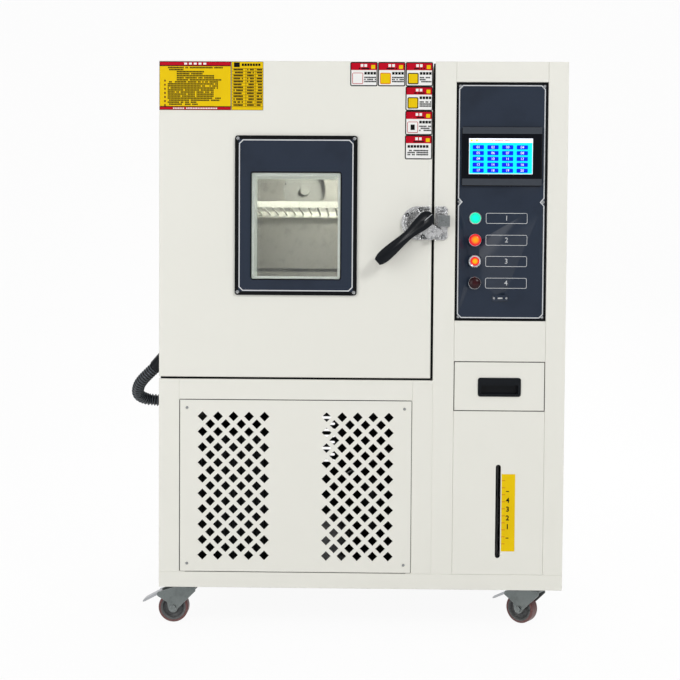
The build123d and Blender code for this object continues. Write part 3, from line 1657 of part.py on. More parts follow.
def fin_block(x0, x1, y0, y1, z0, z1):
    """A finned coil block with open slots between its fins, front and back."""
    count = int((x1 - x0) / fin_pitch) - 1
    with BuildPart() as coil:
        block(x0, x1, y0, y1, z0, z1)
        for face_y, direction in ((y0, 1), (y1, -1)):
            with BuildSketch(Plane.XZ.offset(-face_y)):
                with Locations(((x0 + x1) / 2, (z0 + z1) / 2)):
                    with GridLocations(fin_pitch, 0, count, 1):
                        Rectangle(fin_slot, z1 - z0 - fin_pitch)
            extrude(amount=-direction * (y1 - y0) / 5, mode=Mode.SUBTRACT)
    return coil.part


z_coil0 = z_chamber0 + coil_lift
y_coil0 = y_baffle + baffle_fold
coil = fin_block(
    x_door - coil_width / 2,
    x_door + coil_width / 2,
    y_coil0,
    y_coil0 + coil_depth,
    z_coil0,
    z_coil0 + coil_height,
)
with BuildPart() as coil_feet:
    for foot_x in (x_door - coil_width / 2, x_door + coil_width / 2 - fin_pitch):
        block(foot_x, foot_x + fin_pitch, y_coil0, y_coil0 + coil_depth, z_chamber0, z_coil0)
heaters = []
for index in range(heater_rods):
    heater_z = z_coil0 + coil_height + 25.0 * (index + 1)
    heaters.append(
        rod(
            (x_chamber0 + baffle_edge_gap + liner, y_coil0 + coil_depth / 2, heater_z),
            (x_chamber1 - baffle_edge_gap - liner, y_coil0 + coil_depth / 2, heater_z),
            heater_rod,
        )
    )
keep("evaporator", coil, *coil_feet.part.solids(), *heaters)

# Refrigeration unit on the floor plate: condenser behind the vented panel, and a hermetic compressor
condenser_height = 330.0
condenser_depth = 66.0
condenser_setback = 70.0
condenser_left = 60.0
condenser_gap = 44.0  # from the condenser's side to the compressor's foot
compressor_foot = 190.0
compressor_right = 140.0  # from the compressor's axis to the column
shroud_margin = 40.0  # least width of the shroud beside the fan
fan_blades = 5
fan_hub = 60.0
shroud_depth = 40.0
shroud_lip = 6.0
fan_motor_diameter = 70.0
fan_motor_length = 60.0
fan_shaft = 8.0
x_compressor = x_post0 - compressor_right
x_cond0 = x_left + condenser_left
x_cond1 = x_compressor - compressor_foot / 2 - condenser_gap
fan_diameter = min(x_cond1 - x_cond0, condenser_height) - 2 * shroud_margin
y_cond0 = y_front + condenser_setback
y_cond1 = y_cond0 + condenser_depth
z_cond1 = z_floor_plate + condenser_height
x_fan = (x_cond0 + x_cond1) / 2
z_fan = (z_floor_plate + z_cond1) / 2
y_fan = y_cond1 + shroud_depth / 2
condenser_coil = fin_block(x_cond0, x_cond1, y_cond0, y_cond1, z_floor_plate, z_cond1)
with BuildPart() as shroud:
    block(x_cond0, x_cond1, y_cond1, y_cond1 + shroud_depth, z_floor_plate, z_cond1)
    with BuildSketch(Plane.XZ.offset(-y_cond1)):
        with Locations((x_fan, z_fan)):
            Circle(fan_diameter / 2 + shroud_lip)
    extrude(amount=-shroud_depth, mode=Mode.SUBTRACT)
fan_motor_gap = 12.0
y_fan_motor = y_cond1 + shroud_depth + fan_motor_gap
with BuildPart() as fan_motor:
    with BuildSketch(Plane.XZ.offset(-y_fan_motor)):
        with Locations((x_fan, z_fan)):
            Circle(fan_motor_diameter / 2)
    extrude(amount=-fan_motor_length)
    fillet(fan_motor.faces().sort_by(Axis.Y)[-1].edges(), 8)
    for bar_angle in (45, 135):
        with BuildSketch(Plane.XZ.offset(-y_fan_motor)):
            with Locations((x_fan, z_fan)):
                Rectangle(fan_diameter + 6 * shroud_lip, 12, rotation=bar_angle)
        extrude(amount=-3)
        with BuildSketch(Plane.XZ.offset(-(y_cond1 + shroud_depth))):
            with Locations((x_fan, z_fan)):
                with PolarLocations(fan_diameter / 2 + 2 * shroud_lip, 2, bar_angle):
                    Circle(5)
        extrude(amount=-(y_fan_motor - y_cond1 - shroud_depth))
    with BuildSketch(Plane.XZ.offset(-y_fan_motor)):
        with Locations((x_fan, z_fan)):
            Circle(fan_shaft / 2 + running)
    extrude(amount=-fan_motor_length / 2, mode=Mode.SUBTRACT)
keep("condenser", condenser_coil, shroud.part, fan_motor.part)

with BuildPart() as condenser_fan:
    with BuildSketch(Plane.XZ.offset(-(y_fan - shroud_depth / 4))):
        with Locations((x_fan, z_fan)):
            Circle(fan_hub / 2)
    extrude(amount=-shroud_depth / 2)
    with BuildSketch(Plane.XZ.offset(-y_fan)):
        with Locations((x_fan, z_fan)):
            Circle(fan_shaft / 2)
    extrude(amount=-(y_fan_motor + fan_motor_length / 2 - 5 - y_fan))
    for index in range(fan_blades):
        turn = radians(360 * index / fan_blades)
        outward = Vector(cos(turn), 0, sin(turn))
        sideways = Vector(-sin(turn), 0, cos(turn))
        for radius, pitch, chord in ((fan_hub / 2 - 4, 48, 36), (fan_diameter / 2 - 2, 24, 64)):
            along = Vector(0, 1, 0) * sin(radians(pitch)) + sideways * cos(radians(pitch))
            root = Vector(x_fan, y_fan, z_fan) + outward * radius
            with BuildSketch(Plane(origin=root, x_dir=along, z_dir=outward)):
                Rectangle(chord, 2)
        loft()
keep("condenser_fan", condenser_fan.part)

compressor_diameter = 150.0
compressor_height = 215.0
compressor_setback = 330.0
grommet = 22.0
grommet_height = 14.0
y_compressor = y_front + compressor_setback
pot_shoulder = 24.0
pot_crown = 12.0
pipe = 10.0
pipe_bend = 40.0
pipe_height = 110.0
with BuildPart() as compressor_pot:
    base_z = z_floor_plate + grommet_height
    with BuildSketch(
        Plane(origin=(x_compressor, y_compressor, base_z), x_dir=(1, 0, 0), z_dir=(0, -1, 0))
    ):
        with BuildLine():
            r = compressor_diameter / 2
            top = compressor_height - grommet_height
            seam_z = top * 0.45
            crown = ((r - pot_shoulder) ** 2 + pot_crown**2) / (2 * pot_crown)
            crown_z = top - crown + sqrt(crown**2 - ((r - pot_shoulder) / 2) ** 2)
            shoulder_z = top - pot_crown
            Polyline((0, 4), (r - pot_shoulder, 4), (r, 4 + pot_shoulder), (r, seam_z))
            Polyline((r, seam_z), (r + 4, seam_z), (r + 4, seam_z + 8), (r, seam_z + 8))
            Line((r, seam_z + 8), (r, shoulder_z - pot_shoulder))
            RadiusArc((r, shoulder_z - pot_shoulder), (r - pot_shoulder, shoulder_z), -pot_shoulder)
            ThreePointArc((r - pot_shoulder, shoulder_z), ((r - pot_shoulder) / 2, crown_z), (0, top))
            Line((0, top), (0, 4))
        make_face()
    revolve(axis=Axis((x_compressor, y_compressor, 0), (0, 0, 1)))
    with BuildSketch(Plane.XY.offset(base_z)):
        with Locations((x_compressor, y_compressor)):
            RectangleRounded(compressor_foot, compressor_foot, 18)
    extrude(amount=4)
    pipe_y = y_cond0 + condenser_depth / 2
    pipe_start = Vector(x_compressor, y_compressor - compressor_diameter / 4, z_floor_plate + pipe_height)
    with BuildLine():
        FilletPolyline(
            pipe_start,
            (x_compressor, pipe_y, z_floor_plate + pipe_height),
            (x_cond1, pipe_y, z_floor_plate + pipe_height),
            radius=min(pipe_bend, (x_compressor - x_cond1) / 2),
        )
    with BuildSketch(Plane(origin=pipe_start, z_dir=(0, -1, 0))):
        Circle(pipe / 2)
    sweep()
grommets = []
for foot_x, foot_y in ((-1, -1), (1, -1), (-1, 1), (1, 1)):
    foot = (x_compressor + foot_x * compressor_foot * 0.39, y_compressor + foot_y * compressor_foot * 0.39)
    grommets.append(rod((*foot, z_floor_plate), (*foot, z_floor_plate + grommet_height), grommet))
keep("compressor", compressor_pot.part, *grommets)

# Steam humidifier behind the test space
boiler_diameter = 120.0
boiler_height = 210.0
boiler_stand = 30.0
boiler_inset = 60.0
x_boiler = x_chamber1 - boiler_inset
y_boiler = (y_insulation_back + y_in1) / 2
steam_pipe = 22.0
with BuildPart() as boiler:
    with BuildSketch(Plane.XY.offset(z_deck)):
        with Locations((x_boiler, y_boiler)):
            Circle(boiler_diameter / 2 + 12)
    extrude(amount=3)
    with BuildSketch(Plane.XY.offset(z_deck)):
        with Locations((x_boiler, y_boiler)):
            Circle(boiler_diameter / 2)
    extrude(amount=boiler_height)
    fillet(boiler.faces().sort_by(Axis.Z)[-1].edges(), 10)
    with BuildSketch(Plane.XZ.offset(-(y_insulation_back + seam))):
        with Locations((x_boiler, z_deck + boiler_height - boiler_stand)):
            Circle(steam_pipe / 2)
    extrude(amount=-(y_boiler - y_insulation_back - seam))
keep("humidifier", boiler.part)

# Control gear on a mounting plate in the column
board_setback = 520.0
board_low = 620.0
board_high = 1200.0
board_margin = 12.0
rail_rows = 3
y_board = y_front + board_setback
board_devices = 4
device_pitch = 52.0
device_width = 45.0
device_height = 80.0
device_depth = 62.0
device_nose = 14.0
din_depth = 7.5
din_height = 35.0
board_parts = [
    plain_block(x_post0, x_in1, y_board, y_board + 2 * sheet, z_base + board_low, z_base + board_high)
]
for row in range(rail_rows):
    row_z = z_base + board_low + (board_high - board_low) * (row + 0.5) / rail_rows
    board_parts.append(
        plain_block(
            x_column0, x_column1, y_board - din_depth, y_board, row_z - din_height / 2, row_z + din_height / 2
        )
    )
    for index in range(board_devices - row % 2):
        device_x = x_column0 + board_margin + index * device_pitch
        with BuildPart() as device:
            block(
                device_x,
                device_x + device_width,
                y_board - din_depth - device_depth,
                y_board - din_depth,
                row_z - device_height / 2,
                row_z + device_height / 2,
            )
            block(
                device_x,
                device_x + device_width,
                y_board - din_depth - device_depth - device_nose,
                y_board - din_depth - device_depth,
                row_z - device_height / 4,
                row_z + device_height / 4,
            )
        board_parts.append(device.part)
keep("electrical_board", *board_parts)

# Casters: fixed plates with their kingpins, swivelling forks, wheels, and two brake pedals
plate_slot_x = 74.0
plate_slot_y = 45.0
plate_hole = 8.5
race_diameter = 48.0
race_depth = 9.0
fork_top = 3.0
fork_race = 4.0
kingpin_head = 17.0
kingpin_head_thickness = 3.0
fork_gap = 2.0  # between the wheel and each cheek
pivot_out = 66.0  # brake pivot, measured from the swivel axis along the trail
pivot_up = 72.0
pivot_pin = 6.0
pivot_ear = 7.0
axle_head = 16.0
pedal_width = 26.0
pedal_plate = 3.0
pedal_tip_height = 51.0
pedal_travel = 18.0  # degrees
pedal_nose = 10.3
hub_diameter = 26.0
hub_width = 30.0
web_thickness = 16.0
rim_inner = 52.0
z_axle = wheel_diameter / 2
z_race0 = caster_height - caster_plate_thickness - race_depth
z_fork_race = z_race0 - seam
z_fork_top = z_fork_race - fork_race
z_pin_head = z_fork_top - fork_top - seam
cheek_in = tread_width / 2 + fork_gap
casters = {
    "front_left": (x_left + caster_side_inset, y_front + caster_end_inset, 180.0, True),
    "front_right": (x_right - caster_side_inset, y_front + caster_end_inset, 143.0, True),
    "rear_left": (x_left + caster_side_inset, y_back - caster_end_inset, 168.0, False),
    "rear_right": (x_right - caster_side_inset, y_back - caster_end_inset, 158.0, False),
}


def side_profile(x, y, angle, offset):
    """Plane through a caster's swivel axis: local X trails, local Y is up, normal across the wheel."""
    trail = Vector(cos(radians(angle)), sin(radians(angle)), 0)
    across = trail.cross(Vector(0, 0, 1))
    return Plane(origin=Vector(x, y, 0) + across * offset, x_dir=trail, z_dir=across)


def caster_plate(x, y):
    with BuildPart() as mount:
        with BuildSketch(Plane.XY.offset(z_base - caster_plate_thickness)):
            with Locations((x, y)):
                RectangleRounded(caster_plate_width, caster_plate_length, 6)
                with GridLocations(plate_slot_y, plate_slot_x, 2, 2):
                    Circle(plate_hole / 2, mode=Mode.SUBTRACT)
        extrude(amount=caster_plate_thickness)
        with BuildSketch(Plane.XY.offset(z_race0)):
            with Locations((x, y)):
                Circle(race_diameter / 2)
        extrude(amount=race_depth, taper=-8)
        with BuildSketch(Plane.XY.offset(z_pin_head)):
            with Locations((x, y)):
                Circle(axle_diameter / 2)
        extrude(amount=z_race0 - z_pin_head)
        with BuildSketch(Plane.XY.offset(z_pin_head)):
            with Locations((x, y)):
                Circle(kingpin_head / 2)
        extrude(amount=-kingpin_head_thickness)
    return mount.part


def caster_fork(x, y, angle, braked):
    with BuildPart() as fork:
        for side in (-1, 1):
            offset = side * cheek_in if side > 0 else side * (cheek_in + fork_sheet)
            with BuildSketch(side_profile(x, y, angle, offset)):
                with BuildLine():
                    front_low = (swivel_offset - 11, z_axle - 3)
                    rear_low = (swivel_offset + 11, z_axle - 3)
                    Polyline(rear_low, (swivel_offset + 15, z_axle + 14))
                    if braked:
                        Polyline(
                            (swivel_offset + 15, z_axle + 14),
                            (pivot_out + pivot_ear - 1, pivot_up - 5),
                            (pivot_out + pivot_ear, pivot_up),
                            (pivot_out + pivot_ear - 3, pivot_up + 5),
                            (race_diameter / 2 + 6, z_fork_top),
                        )
                    else:
                        Line((swivel_offset + 15, z_axle + 14), (race_diameter / 2 + 6, z_fork_top))
                    Line((race_diameter / 2 + 6, z_fork_top), (-race_diameter / 2, z_fork_top))
                    Line((-race_diameter / 2, z_fork_top), (-race_diameter / 2, z_fork_top - 9))
                    Line((-race_diameter / 2, z_fork_top - 9), front_low)
                    ThreePointArc(front_low, (swivel_offset, z_axle - 12), rear_low)
                make_face()
            extrude(amount=fork_sheet)
        with BuildSketch(side_profile(x, y, angle, -cheek_in)):
            with BuildLine():
                Polyline(
                    (-race_diameter / 2, z_fork_top - fork_top),
                    (-race_diameter / 2, z_fork_top),
                    (race_diameter / 2 + 6, z_fork_top),
                    (race_diameter / 2 + 6, z_fork_top - fork_top),
                    close=True,
                )
            make_face()
        extrude(amount=2 * cheek_in)
        with BuildSketch(Plane.XY.offset(z_fork_top)):
            with Locations((x, y)):
                Circle(race_diameter / 2 + 1)
        extrude(amount=fork_race, taper=6)
        with BuildSketch(Plane.XY.offset(z_fork_top - fork_top)):
            with Locations((x, y)):
                Circle(axle_diameter / 2 + running)
        extrude(amount=fork_top + fork_race, mode=Mode.SUBTRACT)
        with BuildSketch(side_profile(x, y, angle, -cheek_in - fork_sheet)):
            with Locations((swivel_offset, z_axle)):
                Circle(axle_diameter / 2)
        extrude(amount=2 * (cheek_in + fork_sheet))
        for side in (-1, 1):
            with BuildSketch(side_profile(x, y, angle, side * (cheek_in + fork_sheet))):
                with Locations((swivel_offset, z_axle)):
                    RegularPolygon(axle_head / 2, 6)
            extrude(amount=side * 5)
        if braked:
            with BuildSketch(side_profile(x, y, angle, -cheek_in - fork_sheet)):
                with Locations((pivot_out, pivot_up)):
                    Circle(pivot_pin / 2)
            extrude(amount=2 * (cheek_in + fork_sheet))
    return fork.part


def caster_wheel(x, y, angle):
    with BuildPart() as core:
        with BuildSketch(side_profile(x, y, angle, -hub_width / 2)):
            with Locations((swivel_offset, z_axle)):
                Circle(hub_diameter / 2)
                Circle(axle_diameter / 2 + running, mode=Mode.SUBTRACT)
        extrude(amount=hub_width)
        with BuildSketch(side_profile(x, y, angle, -web_thickness / 2)):
            with Locations((swivel_offset, z_axle)):
                Circle(rim_inner / 2)
                Circle(hub_diameter / 2 - 1, mode=Mode.SUBTRACT)
        extrude(amount=web_thickness)
        with BuildSketch(side_profile(x, y, angle, -tread_width / 2)):
            with Locations((swivel_offset, z_axle)):
                Circle(wheel_diameter / 2 - tread_thickness)
                Circle(rim_inner / 2, mode=Mode.SUBTRACT)
        extrude(amount=tread_width)
    with BuildPart() as tread:
        with BuildSketch(side_profile(x, y, angle, -tread_width / 2)):
            with Locations((swivel_offset, z_axle)):
                Circle(wheel_diameter / 2)
                Circle(wheel_diameter / 2 - tread_thickness, mode=Mode.SUBTRACT)
        extrude(amount=tread_width)
        outer_edges = tread.edges().filter_by(GeomType.CIRCLE).sort_by(SortBy.RADIUS)[-2:]
        fillet(outer_edges, 3)
    return core.part, tread.part


def brake_pedal(x, y, angle):
    lean = radians(pedal_travel)
    to_wheel = Vector(swivel_offset - pivot_out, z_axle - pivot_up).normalized()
    nose_x = to_wheel.X * cos(lean) - to_wheel.Y * sin(lean)
    nose_y = to_wheel.X * sin(lean) + to_wheel.Y * cos(lean)
    with BuildPart() as pedal:
        with BuildSketch(side_profile(x, y, angle, -pedal_width / 2)):
            with BuildLine():
                Polyline(
                    (pivot_out + 1, pivot_up + pivot_ear - 1),
                    (pedal_reach - 6, pedal_tip_height + pedal_plate + 4),
                    (pedal_reach, pedal_tip_height + 1),
                    (pedal_reach - 2, pedal_tip_height - 1),
                    (pedal_reach - 8, pedal_tip_height + 1),
                    (pivot_out + 4, pivot_up - pivot_ear + 4),
                    (pivot_out + nose_x * pedal_nose + 2, pivot_up + nose_y * pedal_nose + 1),
                    (pivot_out + nose_x * pedal_nose, pivot_up + nose_y * pedal_nose),
                    (pivot_out - 4, pivot_up - 1),
                    close=True,
                )
            make_face()
            with Locations((pivot_out, pivot_up)):
                Circle(pivot_ear - 1)
                Circle(pivot_pin / 2 + running, mode=Mode.SUBTRACT)
        extrude(amount=pedal_width)
        fillet(pedal.edges().filter_by(lambda edge: edge.length > pedal_width - 0.1).sort_by(Axis.Z)[0], 0.5)
    return pedal.part


keep("caster_plates", *[caster_plate(x, y) for x, y, angle, braked in casters.values()])
for corner, (x, y, angle, braked) in casters.items():
    keep(f"caster_fork_{corner}", caster_fork(x, y, angle, braked))
    keep(f"caster_wheel_{corner}", *caster_wheel(x, y, angle))
    if braked:
        keep(f"brake_pedal_{corner}", brake_pedal(x, y, angle))

os.makedirs("parts", exist_ok=True)
for name, piece in pieces.items():
    export_step(piece, f"parts/{name}.step")
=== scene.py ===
# %% [markdown]
# # A climatic test chamber, dressed piece by piece
# The construction model gives every panel, hinge, caster and button at its real size and place.
# This lesson adds the looks: the finish of each surface, the printing, the small screws, and the hose.
# The first cell loads the model as a fixed frame and keeps the size of its box.

# %% Load the frame
import json
import math

import bmesh
import bpy
from mathutils import Matrix, Vector


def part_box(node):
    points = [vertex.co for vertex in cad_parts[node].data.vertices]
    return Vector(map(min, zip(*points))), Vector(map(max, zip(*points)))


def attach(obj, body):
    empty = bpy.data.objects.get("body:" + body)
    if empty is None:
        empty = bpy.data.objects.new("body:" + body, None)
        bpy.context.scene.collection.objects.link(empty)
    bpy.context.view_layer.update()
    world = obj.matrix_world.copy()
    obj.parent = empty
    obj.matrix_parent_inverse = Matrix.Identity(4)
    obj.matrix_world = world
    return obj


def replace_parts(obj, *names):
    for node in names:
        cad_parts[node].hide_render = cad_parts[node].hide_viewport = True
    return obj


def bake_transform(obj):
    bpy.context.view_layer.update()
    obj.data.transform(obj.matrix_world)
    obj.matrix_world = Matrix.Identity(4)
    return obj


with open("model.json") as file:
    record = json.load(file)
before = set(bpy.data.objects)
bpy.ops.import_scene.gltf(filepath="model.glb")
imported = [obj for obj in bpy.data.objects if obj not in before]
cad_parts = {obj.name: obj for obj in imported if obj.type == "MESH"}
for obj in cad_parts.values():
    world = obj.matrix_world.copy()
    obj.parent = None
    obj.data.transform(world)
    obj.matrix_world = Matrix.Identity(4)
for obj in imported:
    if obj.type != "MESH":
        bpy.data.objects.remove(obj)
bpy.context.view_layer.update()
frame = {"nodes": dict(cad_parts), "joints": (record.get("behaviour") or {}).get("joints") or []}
scene = bpy.context.scene
scene.view_settings.view_transform = "Standard"

# %% [markdown]
# ## Measures
# The front of the cabinet is the ruler for everything on it. A place is given in millimetres to the
# right of the cabinet's left edge, above its underside, and behind its front face.

# %% Measures
MM = 0.001
left_edge, front_face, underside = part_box("front_frame")[0]


def at(right, up, back=0.0):
    """A point of the cabinet in metres, from millimetres across, up and back."""
    return Vector((left_edge + right * MM, front_face + back * MM, underside + up * MM))


def face_of(node):
    """A node's edges on the front (left, low, right, high) and its front face's depth, in millimetres."""
    low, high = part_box(node)
    across = [(x - left_edge) / MM for x in (low.x, high.x)]
    up = [(z - underside) / MM for z in (low.z, high.z)]
    return (across[0], up[0], across[1], up[1]), (low.y - front_face) / MM


cabinet_width, cabinet_height = face_of("front_frame")[0][2:]
print("cabinet", round(cabinet_width), "by", round(cabinet_height), "mm")

# %% [markdown]
# ## Helpers for nodes
# Shader trees and geometry trees are built from the same kind of step: a new node, whose inputs are
# linked to sockets or set to values. Two small functions do this for every tree of the lesson.

# %% Helpers
finishes = {}


def added(name, data):
    """A new object of the scene."""
    item = bpy.data.objects.new(name, data)
    scene.collection.objects.link(item)
    return item


def feed(tree, node, **inputs):
    """Links sockets to a node's inputs, or sets their values. A label's spaces are underscores."""
    for label, value in inputs.items():
        socket = node.inputs[label.replace("_", " ")]
        if isinstance(value, bpy.types.NodeSocket):
            tree.links.new(value, socket)
        else:
            socket.default_value = value


def made(tree, kind, *values, **named):
    """A new node's outputs. Values fill its inputs in order, capitals name inputs, small letters settings."""
    node = tree.nodes.new(kind)
    for label, value in named.items():
        if label[0].islower():
            setattr(node, label, value)
    for socket, value in zip(node.inputs, values):
        if isinstance(value, bpy.types.NodeSocket):
            tree.links.new(value, socket)
        elif value is not None:
            socket.default_value = value
    feed(tree, node, **{label: value for label, value in named.items() if label[0].isupper()})
    return node.outputs


def maths(tree, operation, first, second):
    """A sum on two sockets or numbers."""
    return made(tree, "ShaderNodeMath", first, second, operation=operation)[0]


def mix_colour(tree, factor, first, second):
    """A colour mix fed by sockets or plain colours."""
    return made(tree, "ShaderNodeMix", factor, *[None] * 5, first, second, data_type="RGBA")[2]


def new_material(name):
    """A material's tree and shader, kept under its name."""
    material = bpy.data.materials.new(name)
    material.use_nodes = True
    finishes[name] = material
    return material.node_tree, material.node_tree.nodes["Principled BSDF"]


print("helpers ready")

# %% [markdown]
# ## Camera
# The photograph was taken from straight ahead and a little above the middle of the cabinet. The camera
# is turned by small angles, as a hand-held one is, so its axes are built from those angles.

# %% Camera
camera_distance = 2.70
camera_right_of_middle = 0.012
camera_height = 0.812
look_down = math.radians(2.04)
look_left = math.radians(0.82)
roll = math.radians(0.38)
pixels_across = 680
focal_pixels = 1109.0

camera_data = bpy.data.cameras.new("photo_camera")
camera_data.sensor_width = 36.0
camera_data.lens = camera_data.sensor_width * focal_pixels / pixels_across
camera = added("photo_camera", camera_data)
level_right = Vector((math.cos(look_left), math.sin(look_left), 0))
level_ahead = Vector((-math.sin(look_left), math.cos(look_left), 0))
forward = level_ahead * math.cos(look_down) - Vector((0, 0, math.sin(look_down)))
level_up = level_right.cross(forward)
tilted_right = level_right * math.cos(roll) + level_up * math.sin(roll)
tilted_up = level_up * math.cos(roll) - level_right * math.sin(roll)
axes = Matrix((tilted_right, tilted_up, -forward)).transposed().to_4x4()
camera_place = (camera_right_of_middle, front_face - camera_distance, camera_height)
camera.matrix_world = Matrix.Translation(camera_place) @ axes
scene.camera = camera
print("lens", round(camera_data.lens, 1), "mm")

# %% [markdown]
# ## Light and floor
# Soft light from a lamp high on the right and from a larger, weaker one on the left models the flat
# panels, and a third lamp stands behind. The world adds a level that is brighter above than below, so
# that metal shows some contrast. The floor runs up behind the object in one bend, so no horizon shows,
# and rays from the camera see it nearly white while it still keeps the shadow.

# %% Light and floor
for name, place, target_height, size, watts in (
    ("window_light", (2.35, -3.3, 3.1), 0.7, 0.9, 52),
    ("room_light", (-2.6, -3.3, 1.5), 0.6, 2.8, 46),
    ("back_light", (0.6, 3.0, 2.6), 0.8, 2.6, 60),
):
    lamp_data = bpy.data.lights.new(name, "AREA")
    lamp_data.energy = watts
    lamp_data.size = size
    lamp = added(name, lamp_data)
    lamp.location = place
    aim = Vector((0, 0, target_height)) - Vector(place)
    lamp.rotation_euler = aim.to_track_quat("-Z", "Y").to_euler()

world = bpy.data.worlds.new("studio")
scene.world = world
world.use_nodes = True
sky = world.node_tree
sky.nodes.clear()
height = made(sky, "ShaderNodeSeparateXYZ", made(sky, "ShaderNodeTexCoord")["Generated"])["Z"]
height_fade = made(
    sky, "ShaderNodeMapRange", Value=height, From_Min=-0.6, From_Max=0.6, To_Min=0.45, To_Max=1.55
)["Result"]
plain_sky = made(sky, "ShaderNodeBackground", Color=height_fade, Strength=0.37)
made(sky, "ShaderNodeOutputWorld", Surface=plain_sky["Background"])

floor_reach = 9.0
bend_start = 2.4
bend_radius = 1.6
wall_height = 6.0
bend_steps = 12
profile = [(-floor_reach, 0.0), (bend_start, 0.0)]
for step in range(1, bend_steps + 1):
    turn = math.pi / 2 * step / bend_steps
    profile.append((bend_start + bend_radius * math.sin(turn), bend_radius * (1 - math.cos(turn))))
profile.append((bend_start + bend_radius, wall_height))
backdrop_mesh = bpy.data.meshes.new("backdrop")
corners = [(side * floor_reach, y, z) for y, z in profile for side in (-1, 1)]
quads = [(2 * i, 2 * i + 1, 2 * i + 3, 2 * i + 2) for i in range(len(profile) - 1)]
backdrop_mesh.from_pydata(corners, [], quads)
backdrop = added("backdrop", backdrop_mesh)
backdrop_mesh.shade_smooth()

backdrop_share = 0.94
paper, paper_shader = new_material("backdrop_paper")
feed(paper, paper_shader, Base_Color=(0.9, 0.9, 0.9, 1), Roughness=0.8)
white = made(paper, "ShaderNodeEmission")["Emission"]
ray = made(paper, "ShaderNodeLightPath")
seen = maths(paper, "MAXIMUM", ray["Is Camera Ray"], ray["Is Glossy Ray"])
seen = maths(paper, "MAXIMUM", seen, ray["Is Transmission Ray"])
share = maths(paper, "MULTIPLY", seen, backdrop_share)
mixed = made(paper, "ShaderNodeMixShader", share, paper_shader.outputs["BSDF"], white)["Shader"]
feed(paper, paper.nodes["Material Output"], Surface=mixed)
backdrop_mesh.materials.append(finishes["backdrop_paper"])
print("floor and backdrop ready")

# %% [markdown]
# ## Shared effects
# Real finishes are never one colour. Powder coat has a fine orange peel, brushed steel has long
# scratches, and castings are mottled. Each effect is a node group with named inputs, built once, and
# every material below places it with its own values. The others are a painted highlight along the
# edges, dust near the floor, and painted shade on the coated faces inside the machine bay.

# %% Shared effects


def effect_group(name, inputs, outputs=("Color",)):
    """An empty shader node group, whose sockets take their kind from their values."""
    group = bpy.data.node_groups.new(name, "ShaderNodeTree")
    for label, value in inputs.items():
        kind = "Float" if isinstance(value, float) else "Color" if len(value) == 4 else "Vector"
        socket = group.interface.new_socket(label, in_out="INPUT", socket_type="NodeSocket" + kind)
        socket.default_value = value
    for label in outputs:
        kind = {"Color": "Color", "Normal": "Vector"}.get(label, "Float")
        group.interface.new_socket(label, in_out="OUTPUT", socket_type="NodeSocket" + kind)
    return group, group.nodes.new("NodeGroupInput").outputs, group.nodes.new("NodeGroupOutput")


def noise(tree, vector, scale, detail, roughness):
    """Noise on coordinates, its scale a socket or a number."""
    named = {"Vector": vector, "Scale": scale, "Detail": detail, "Roughness": roughness}
    return made(tree, "ShaderNodeTexNoise", **named)["Fac"]


def surface_effect(name, stretched):
    """Mottled or brushed skin: colour, roughness and normal that vary a little over the surface."""
    group, given, result = effect_group(
        name,
        {
            "Color": (0.8, 0.8, 0.8, 1), "Shade Color": (0.6, 0.6, 0.6, 1), "Grain Size": 0.001,
            "Patch Size": 0.2, "Patch Share": 0.2, "Roughness": 0.5, "Roughness Spread": 0.1,
            "Bump": 0.1, "Stretch": (1, 1, 1),
        },
        ("Color", "Roughness", "Normal"),
    )
    where = grain_where = made(group, "ShaderNodeTexCoord")["Object"]
    if stretched:
        grain_where = made(group, "ShaderNodeVectorMath", where, given["Stretch"], operation="MULTIPLY")[0]
    grain = noise(group, grain_where, maths(group, "DIVIDE", 1.0, given["Grain Size"]), 3.0, 0.6)
    patch = noise(group, where, maths(group, "DIVIDE", 1.0, given["Patch Size"]), 3.0, 0.55)
    steep = made(group, "ShaderNodeMapRange", Value=patch, From_Min=0.35, From_Max=0.7)["Result"]
    patch_share = maths(group, "MULTIPLY", steep, given["Patch Share"])
    grain_share = maths(group, "MULTIPLY", grain, given["Patch Share"])
    both = maths(group, "MAXIMUM", patch_share, grain_share)
    spread = maths(group, "MULTIPLY", maths(group, "SUBTRACT", grain, 0.5), given["Roughness Spread"])
    bump = made(group, "ShaderNodeBump", Strength=given["Bump"], Distance=given["Grain Size"], Height=grain)
    feed(
        group, result, Color=mix_colour(group, both, given["Color"], given["Shade Color"]),
        Roughness=maths(group, "ADD", spread, given["Roughness"]), Normal=bump["Normal"],
    )
    return group


mottled_skin = surface_effect("mottled_skin", False)
brushed_skin = surface_effect("brushed_skin", True)

# Painted highlight: faces close to an edge are mixed towards a lighter colour.
worn_edge, given, result = effect_group(
    "worn_edge", {"Color": (0.5, 0.5, 0.5, 1), "Edge Color": (0.9, 0.9, 0.9, 1), "Radius": 0.001}
)
rounded = made(worn_edge, "ShaderNodeBevel", samples=4, Radius=given["Radius"])["Normal"]
plain = made(worn_edge, "ShaderNodeNewGeometry")["Normal"]
facing = made(worn_edge, "ShaderNodeVectorMath", rounded, plain, operation="DOT_PRODUCT")["Value"]
edge_share = maths(worn_edge, "MULTIPLY", maths(worn_edge, "SUBTRACT", 1.0, facing), 4.0)
edge_limit = maths(worn_edge, "MINIMUM", edge_share, 1.0)
feed(worn_edge, result, Color=mix_colour(worn_edge, edge_limit, given["Color"], given["Edge Color"]))

